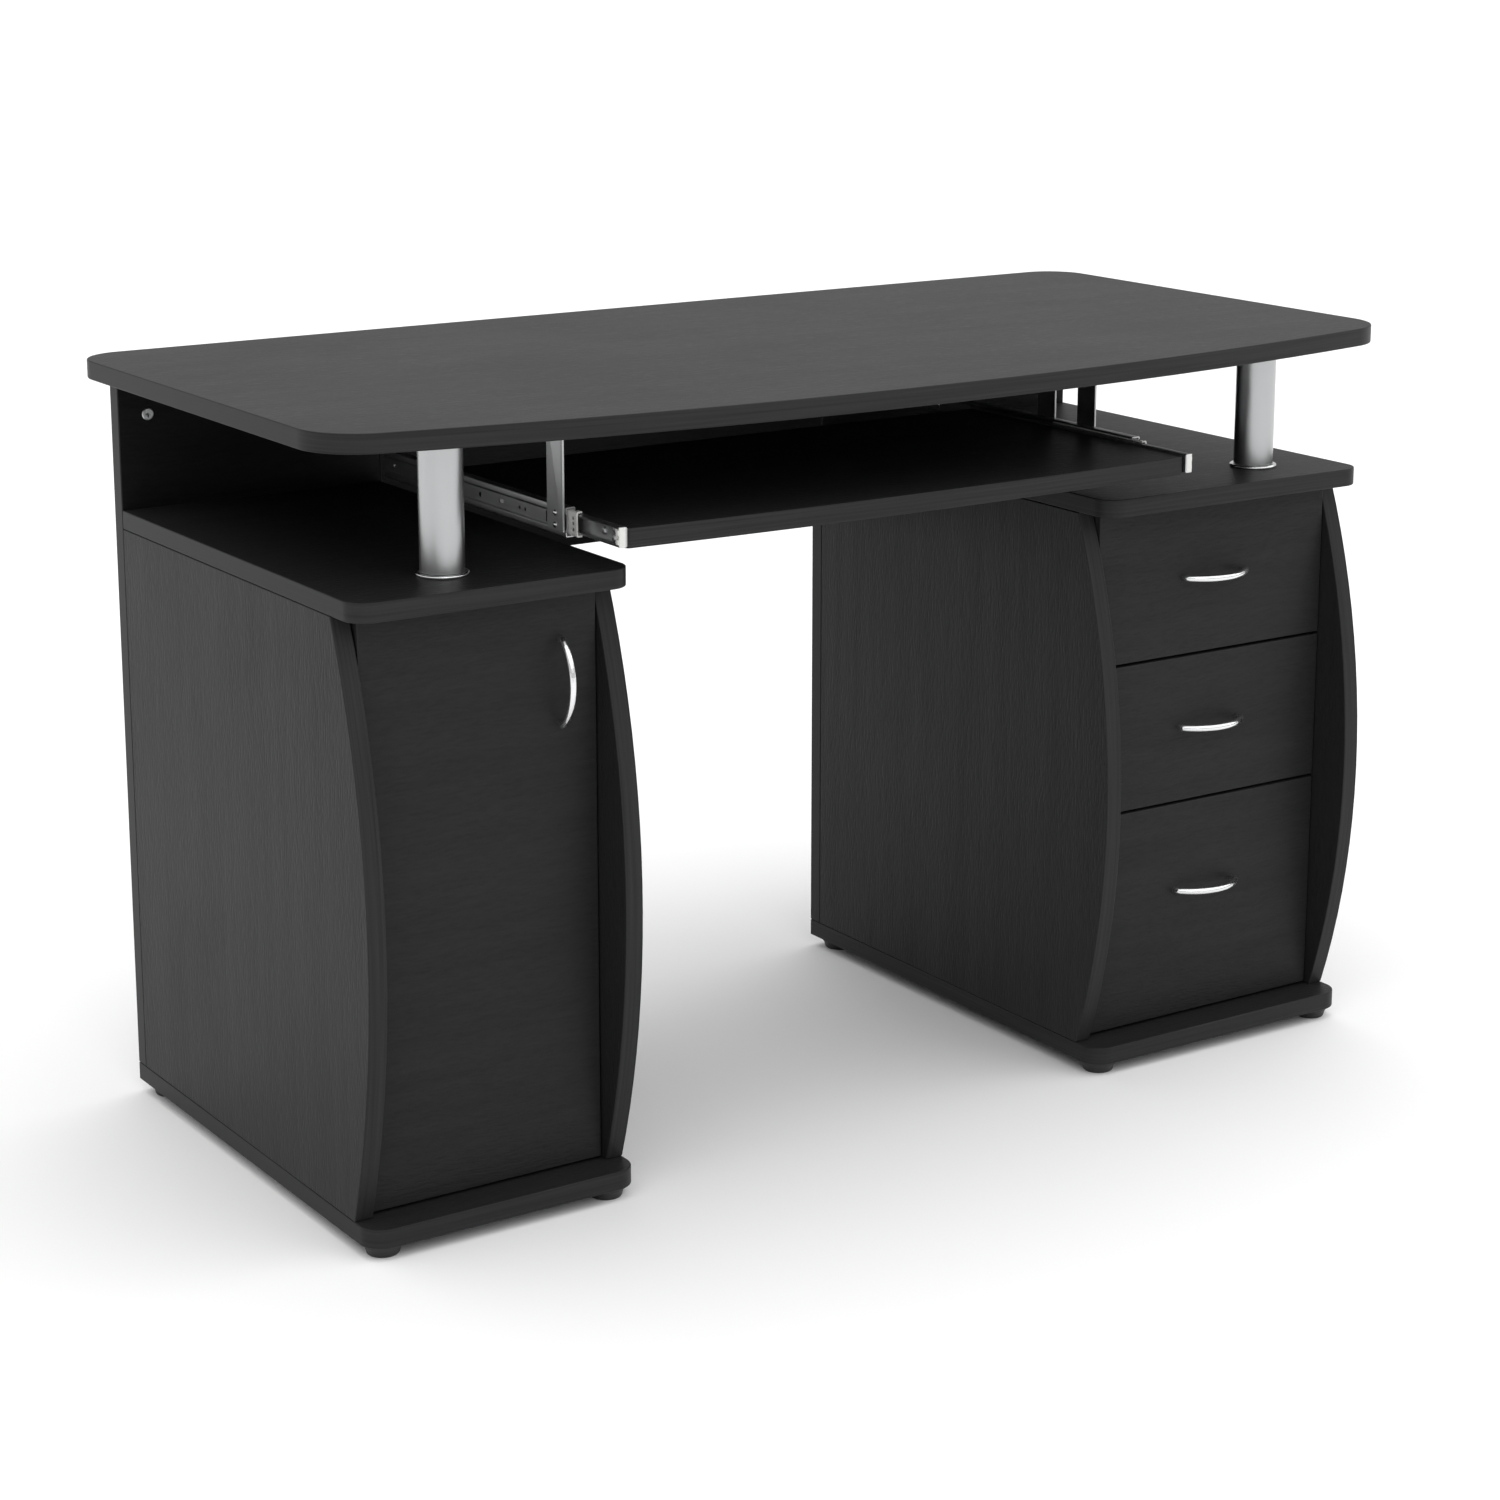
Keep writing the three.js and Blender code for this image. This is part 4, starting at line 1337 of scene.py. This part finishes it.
class DESK_OT_slides(bpy.types.Operator):
    """Make the tray's slides: members, ball cages, end caps, balls and hanging straps"""

    bl_idname = "desk.slides"
    bl_label = "Tray slides"

    def execute(self, context):
        for side, way in SIDES.items():
            tray_low, tray_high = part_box("keyboard_tray")
            edge = tray_low.x if way < 0 else tray_high.x
            self.add_fixed(side, way, edge)
            self.add_cage(side, way, edge)
            self.add_moving(side, way, edge)
            self.add_end_cap(side, way, edge)
            for end in ("front", "rear"):
                self.add_strap(side, way, edge, end)
        return {"FINISHED"}

    def place(self, way, edge):
        return lambda a, b, t: (edge + way * a, t, b)

    def add_fixed(self, side, way, edge):
        node = f"{side}_slide_fixed_member"
        low, high, middle, half, mouth, back = slide_section(node, edge)
        sheet = RAIL_SHEET
        centre_back, crown = back - sheet / 2, half - sheet / 2
        line = [
            (mouth + 0.4 * MM, middle + crown - 1.0 * MM),
            (mouth + 1.6 * MM, middle + crown),
            (centre_back, middle + crown),
            (centre_back, middle + crown - 5 * MM),
            (centre_back - 0.9 * MM, middle + crown - 6.5 * MM),
            (centre_back - 0.9 * MM, middle - crown + 6.5 * MM),
            (centre_back, middle - crown + 5 * MM),
            (centre_back, middle - crown),
            (mouth + 1.6 * MM, middle - crown),
            (mouth + 0.4 * MM, middle - crown + 1.0 * MM),
        ]
        bm = bmesh.new()
        prism(bm, sheet_outline(line, 0.7 * MM, sheet), low.y, high.y, self.place(way, edge))
        mesh = mesh_from(bm, f"{node}_rail", finish("zinc_plate"))
        slots = [
            (low.y + 35 * MM, middle, 0, 7 * MM, 3.4 * MM),
            (low.y + 74 * MM, middle, 0.1 * MM, 0, 3.2 * MM),
            (low.y + 84 * MM, middle, 0.1 * MM, 0, 3.2 * MM),
            (low.y + 118 * MM, middle, 7 * MM, 0, 4.0 * MM),
            (low.y + 158 * MM, middle, 0.1 * MM, 0, 4.4 * MM),
            (high.y - 82 * MM, middle, 7 * MM, 0, 4.4 * MM),
            (high.y - 22 * MM, middle, 0.1 * MM, 0, 5 * MM),
        ]
        x_range = sorted((edge + way * (back - 4 * MM), edge + way * (back + 4 * MM)))
        add_piece(f"{node}_rail", cut_slots(mesh, slots, x_range), "frame", [node])

    def add_cage(self, side, way, edge):
        node = f"{side}_slide_ball_cage"
        low, high, middle, half, mouth, back = slide_section(node, edge)
        wall = 1.5 * MM
        centre_back, crown = back - wall / 2 - 0.9 * MM, half - wall / 2
        line = [
            (mouth + 0.6 * MM, middle + crown),
            (centre_back, middle + crown),
            (centre_back, middle - crown),
            (mouth + 0.6 * MM, middle - crown),
        ]
        bm = bmesh.new()
        prism(bm, sheet_outline(line, 1.2 * MM, wall), low.y, high.y, self.place(way, edge))
        mesh = mesh_from(bm, f"{node}_strip", finish("white_nylon"))
        slots = [(low.y + 6.5 * MM, middle + rise * MM, 2 * MM, 0, 3.2 * MM)
                  for rise in (-5.2, 0, 5.2)]
        windows = int((high.y - low.y) / (20 * MM)) - 1
        slots += [(low.y + (24 + 20 * step) * MM, middle, 7 * MM, 0, 7 * MM)
                   for step in range(windows)]
        x_range = sorted((edge + way * (centre_back - 3 * MM), edge + way * (back + 3 * MM)))
        add_piece(
    f"{node}_strip",
    cut_slots(
        mesh,
        slots,
        x_range),
        "ball_cages",
         [node])
        hardware = settings("hardware")
        ball_x = edge + way * (mouth + (centre_back - mouth) * 0.5)
        points = [(Vector((ball_x, low.y + 6 * MM, middle + rise * crown)), Z_AXIS)
                   for rise in (-1, 1)]
        add_fasteners(
            f"{side}_slide_balls",
            "ball_cages",
            points,
            dome_tree(),
            finish("ball_steel"),
            hardware.ball,
            hardware.ball / 2,
            count=int((high.y - low.y - 10 * MM) / hardware.ball_pitch) + 1,
            step=(0, hardware.ball_pitch, 0),
        )

    def add_moving(self, side, way, edge):
        node = f"{side}_slide_tray_member"
        low, high, middle, half, _, reach = slide_section(node, edge)
        sheet = RAIL_SHEET
        crown = half - sheet / 2
        line = [
            (reach - 0.3 * MM, middle + crown - 0.9 * MM),
            (reach - 1.4 * MM, middle + crown),
            (0.3 * MM + sheet / 2, middle + crown),
            (0.3 * MM + sheet / 2, middle - crown),
            (reach - 1.4 * MM, middle - crown),
            (reach - 0.3 * MM, middle - crown + 0.9 * MM),
        ]
        bm = bmesh.new()
        prism(bm, sheet_outline(line, 1.0 * MM, sheet), low.y, high.y, self.place(way, edge))
        mesh = mesh_from(bm, f"{node}_rail", finish("zinc_plate"))
        slots = [
            (low.y + 128 * MM, middle, 6 * MM, 0, 4.4 * MM),
            (low.y + 150 * MM, middle, 8 * MM, 0, 4.4 * MM),
            (high.y - 60 * MM, middle, 8 * MM, 0, 4.4 * MM),
        ]
        x_range = sorted((edge + way * 0.05 * MM, edge + way * 4 * MM))
        add_piece(
    f"{node}_rail",
    cut_slots(
        mesh,
        slots,
        x_range),
        "keyboard_tray",
         [node])
        face = Vector((way, 0, 0))
        spots = ((17, 3.6), (19, -3.6), (36, 0), (104, 0), (190, 0), (262, 0))
        points = [
            (Vector((edge + way * 1.5 * MM, low.y + back * MM, middle + rise * MM)), face)
            for back, rise in spots
        ]
        add_screws(f"{node}_screws", "keyboard_tray", points)

    def add_end_cap(self, side, way, edge):
        """The white buffer pushed into the front of a tray member."""
        low, _, middle, half, _, reach = slide_section(f"{side}_slide_tray_member", edge)
        bm = bmesh.new()
        for start, end, out, up in (
    (0.0, 1.6, reach, half), (1.6, 8.0, reach - 0.9 * MM, half - 1.3 * MM)):
            ends = sorted((edge + way * 1.6 * MM, edge + way * out))
            box(
                bm,
                Vector((ends[0], low.y + start * MM - 0.1 * MM, middle - up)),
                Vector((ends[1], low.y + end * MM, middle + up)),
                0.4 * MM,
            )
        for rise in (-0.45, 0.45):
            knob = sorted((edge + way * (reach - 1.2 * MM), edge + way * (reach + 0.9 * MM)))
            knob_z = middle + rise * half
            box(
                bm,
                Vector((knob[0], low.y + 0.4 * MM, knob_z - 2.4 * MM)),
                Vector((knob[1], low.y + 4.5 * MM, knob_z + 2.4 * MM)),
                0.8 * MM,
            )
        mesh = mesh_from(bm, f"{side}_slide_end_cap", finish("white_nylon"))
        add_piece(f"{side}_slide_end_cap", mesh, "keyboard_tray")

    def add_strap(self, side, way, edge, end):
        node = f"{side}_slide_{end}_strap"
        low, high, _, _, near, far = slide_section(node, edge)
        sheet = STRAP_SHEET
        foot = low.z + settings("hardware").strap_lift
        line = [
            (near + sheet / 2, foot),
            (near + sheet / 2, high.z - sheet / 2),
            (far, high.z - sheet / 2),
        ]
        bm = bmesh.new()
        prism(bm, sheet_outline(line, 1.6 * MM, sheet), low.y, high.y, self.place(way, edge))
        mesh = mesh_from(bm, f"{node}_bracket", finish("zinc_plate"))
        middle_y = (low.y + high.y) / 2
        slots = [(middle_y, high.z - 15 * MM, 9 * MM, 0, 4.5 * MM)]
        x_range = sorted((edge + way * (near - 1 * MM), edge + way * (near + 4 * MM)))
        piece = add_piece(
    f"{node}_bracket",
    cut_slots(
        mesh,
        slots,
        x_range),
        "frame",
         [node])
        soften(piece, 0.35 * MM, segments=2, sharper_than=50)
        outward = Vector((way, 0, 0))
        face_x = edge + way * (near + sheet)
        slide_z = low.z + 13.5 * MM
        rivets = [(Vector((face_x, middle_y, slide_z + shift * MM)), outward) for shift in (-4, 7)]
        hardware = settings("hardware")
        add_fasteners(
            f"{node}_rivets",
            "frame",
            rivets,
            dome_tree(),
            finish("ball_steel"),
            hardware.rivet_head,
            1.5 * MM,
        )
        foot_x = edge + way * (near + far + sheet) / 2
        foot_z = high.z - sheet
        screws = [(Vector((foot_x, middle_y + shift * MM, foot_z)), -Z_AXIS) for shift in (-7, 7)]
        add_screws(f"{node}_screws", "frame", screws)


# ---- cam covers and shelf pins -----------------------------------------------------------------
class DESK_OT_fittings(bpy.types.Operator):
    """Make the cam covers on the back boards and the pins under the shelf"""

    bl_idname = "desk.fittings"
    bl_label = "Fittings"

    def execute(self, context):
        hardware = settings("hardware")
        points = []
        for side in SIDES:
            low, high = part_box(f"{side}_back_panel")
            for x in (low.x + 30 * MM, high.x - 30 * MM):
                points.append((Vector((x, low.y, high.z - hardware.cam_inset)), -Y_AXIS))
        low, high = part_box("modesty_panel")
        for x in (low.x + 34 * MM, high.x - 34 * MM):
            for z in (low.z + 40 * MM, high.z - hardware.cam_inset):
                points.append((Vector((x, high.y, z)), Y_AXIS))
        add_fasteners(
            "cam_covers",
            "frame",
            points,
            screw_tree(),
            finish("zinc_plate"),
            hardware.cam_cover,
            1.6 * MM,
            top=0.86,
        )
        self.add_shelf_pins()
        return {"FINISHED"}

    def add_shelf_pins(self):
        low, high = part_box("cupboard_shelf")
        bm = bmesh.new()
        for x, way in ((low.x, 1), (high.x, -1)):
            for y in (low.y + 40 * MM, high.y - 40 * MM):
                pin = Vector((x - way * 0.3 * MM, y, low.z - 3.0 * MM))
                profile = [(0, 0), (2.5 * MM, 0), (2.5 * MM, 7.6 * MM),
                            (2.1 * MM, 8 * MM), (0, 8 * MM)]
                revolve(bm, profile, pin, Vector((way, 0, 0)), segments=20)
                collar = [(0, 0), (3.6 * MM, 0), (3.6 * MM, 1.2 * MM), (0, 1.2 * MM)]
                revolve(bm, collar, pin - Vector((0, 0, 0.8 * MM)),
                        Vector((way, 0, 0)), segments=20)
        mesh = mesh_from(bm, "shelf_pins", finish("zinc_plate"))
        add_piece("shelf_pins", mesh, "frame")


# ---- stage -------------------------------------------------------------------------------------
class DESK_OT_stage(bpy.types.Operator):
    """Make the floor, the lights and the camera"""

    bl_idname = "desk.stage"
    bl_label = "Stage"

    def execute(self, context):
        stage = settings("stage")
        self.add_floor(stage)
        self.add_surround(stage)
        for name, place, size, energy in SOFTBOXES:
            self.add_softbox(name, Vector(place), size, energy)
        self.add_overhead(stage)
        self.add_camera(stage)
        context.scene.view_settings.view_transform = "Standard"
        return {"FINISHED"}

    def add_floor(self, stage):
        bm = bmesh.new()
        bmesh.ops.create_grid(bm, x_segments=1, y_segments=1, size=FLOOR_REACH)
        material, tree, shader, vector = new_material("floor_paint")
        cloud = add_node(
    tree, "ShaderNodeTexNoise", {
        "Vector": vector, "Scale": 2.0, "Detail": 3.0})
        tree.links.new(
    tinted(
        tree,
        stage.floor,
        cloud.outputs["Fac"],
        0.004),
         shader.inputs["Base Color"])
        shader.inputs["Roughness"].default_value = 0.9
        shader.inputs["Specular IOR Level"].default_value = 0.1
        add_object("floor", mesh_from(bm, "floor", material))

    def add_surround(self, stage):
        """A white dome, brighter overhead than at the horizon."""
        world = bpy.data.worlds.new("white_surround")
        world.use_nodes = True
        tree = world.node_tree
        background = tree.nodes["Background"]
        background.inputs["Color"].default_value = (1, 1, 1, 1)
        way = add_node(tree, "ShaderNodeTexCoord").outputs["Generated"]
        rise = add_node(tree, "ShaderNodeSeparateXYZ", {0: way}).outputs["Z"]
        strength = spread(tree, rise, stage.horizon, stage.sky)
        seen = add_node(tree, "ShaderNodeLightPath").outputs["Is Camera Ray"]
        shown = math_node(tree, "MAXIMUM", strength, seen)
        tree.links.new(shown, background.inputs["Strength"])
        bpy.context.scene.world = world

    def add_softbox(self, name, place, size, energy):
        light = bpy.data.lights.new(name, "AREA")
        light.shape = "SQUARE"
        light.size = size
        light.energy = energy
        lamp = add_object(name, light)
        lamp.location = place
        lamp.rotation_euler = (SOFTBOX_AIM - place).to_track_quat("-Z", "Y").to_euler()

    def add_overhead(self, stage):
        """A light as broad as the ceiling, even all over the floor."""
        light = bpy.data.lights.new("overhead", "SUN")
        light.angle = OVERHEAD_ANGLE
        light.energy = stage.overhead
        add_object("overhead", light).rotation_euler = OVERHEAD_TURN

    def add_camera(self, stage):
        camera = bpy.data.cameras.new("camera")
        camera.lens = stage.lens
        camera.sensor_width = FULL_FRAME
        camera.shift_y = stage.rise
        camera.clip_end = FAR_CLIP
        rig = add_object("camera", camera)
        rig.rotation_euler = (math.pi / 2 - stage.tilt, 0, stage.azimuth)
        look = rig.rotation_euler.to_matrix() @ -Z_AXIS
        rig.location = Vector(stage.aim) - look * stage.distance
        bpy.context.scene.camera = rig


# ---- add-on ------------------------------------------------------------------------------------
STEPS = (
    DESK_OT_boards,
    DESK_OT_drawer_boxes,
    DESK_OT_posts,
    DESK_OT_feet,
    DESK_OT_handles,
    DESK_OT_hinges,
    DESK_OT_runners,
    DESK_OT_slides,
    DESK_OT_fittings,
    DESK_OT_stage,
)


class DESK_PT_panel(bpy.types.Panel):
    """Lists the desk's settings and the steps that build it"""

    bl_idname = "DESK_PT_panel"
    bl_label = "Computer desk"
    bl_space_type = "VIEW_3D"
    bl_region_type = "UI"
    bl_category = "Desk"

    def draw(self, context):
        for group, kind in GROUPS.items():
            column = self.layout.box().column()
            for name in kind.__annotations__:
                column.prop(getattr(context.scene, group), name)
        for step in STEPS:
            self.layout.operator(step.bl_idname)


def register():
    for kind in (*GROUPS.values(), *STEPS, DESK_PT_panel):
        bpy.utils.register_class(kind)
    for group, kind in GROUPS.items():
        setattr(bpy.types.Scene, group, PointerProperty(type=kind))


def unregister():
    for group in GROUPS:
        delattr(bpy.types.Scene, group)
    for kind in reversed((*GROUPS.values(), *STEPS, DESK_PT_panel)):
        bpy.utils.unregister_class(kind)


def main():
    register()
    for step in STEPS:
        family, name = step.bl_idname.split(".")
        getattr(getattr(bpy.ops, family), name)()


if __name__ == "__main__":
    main()
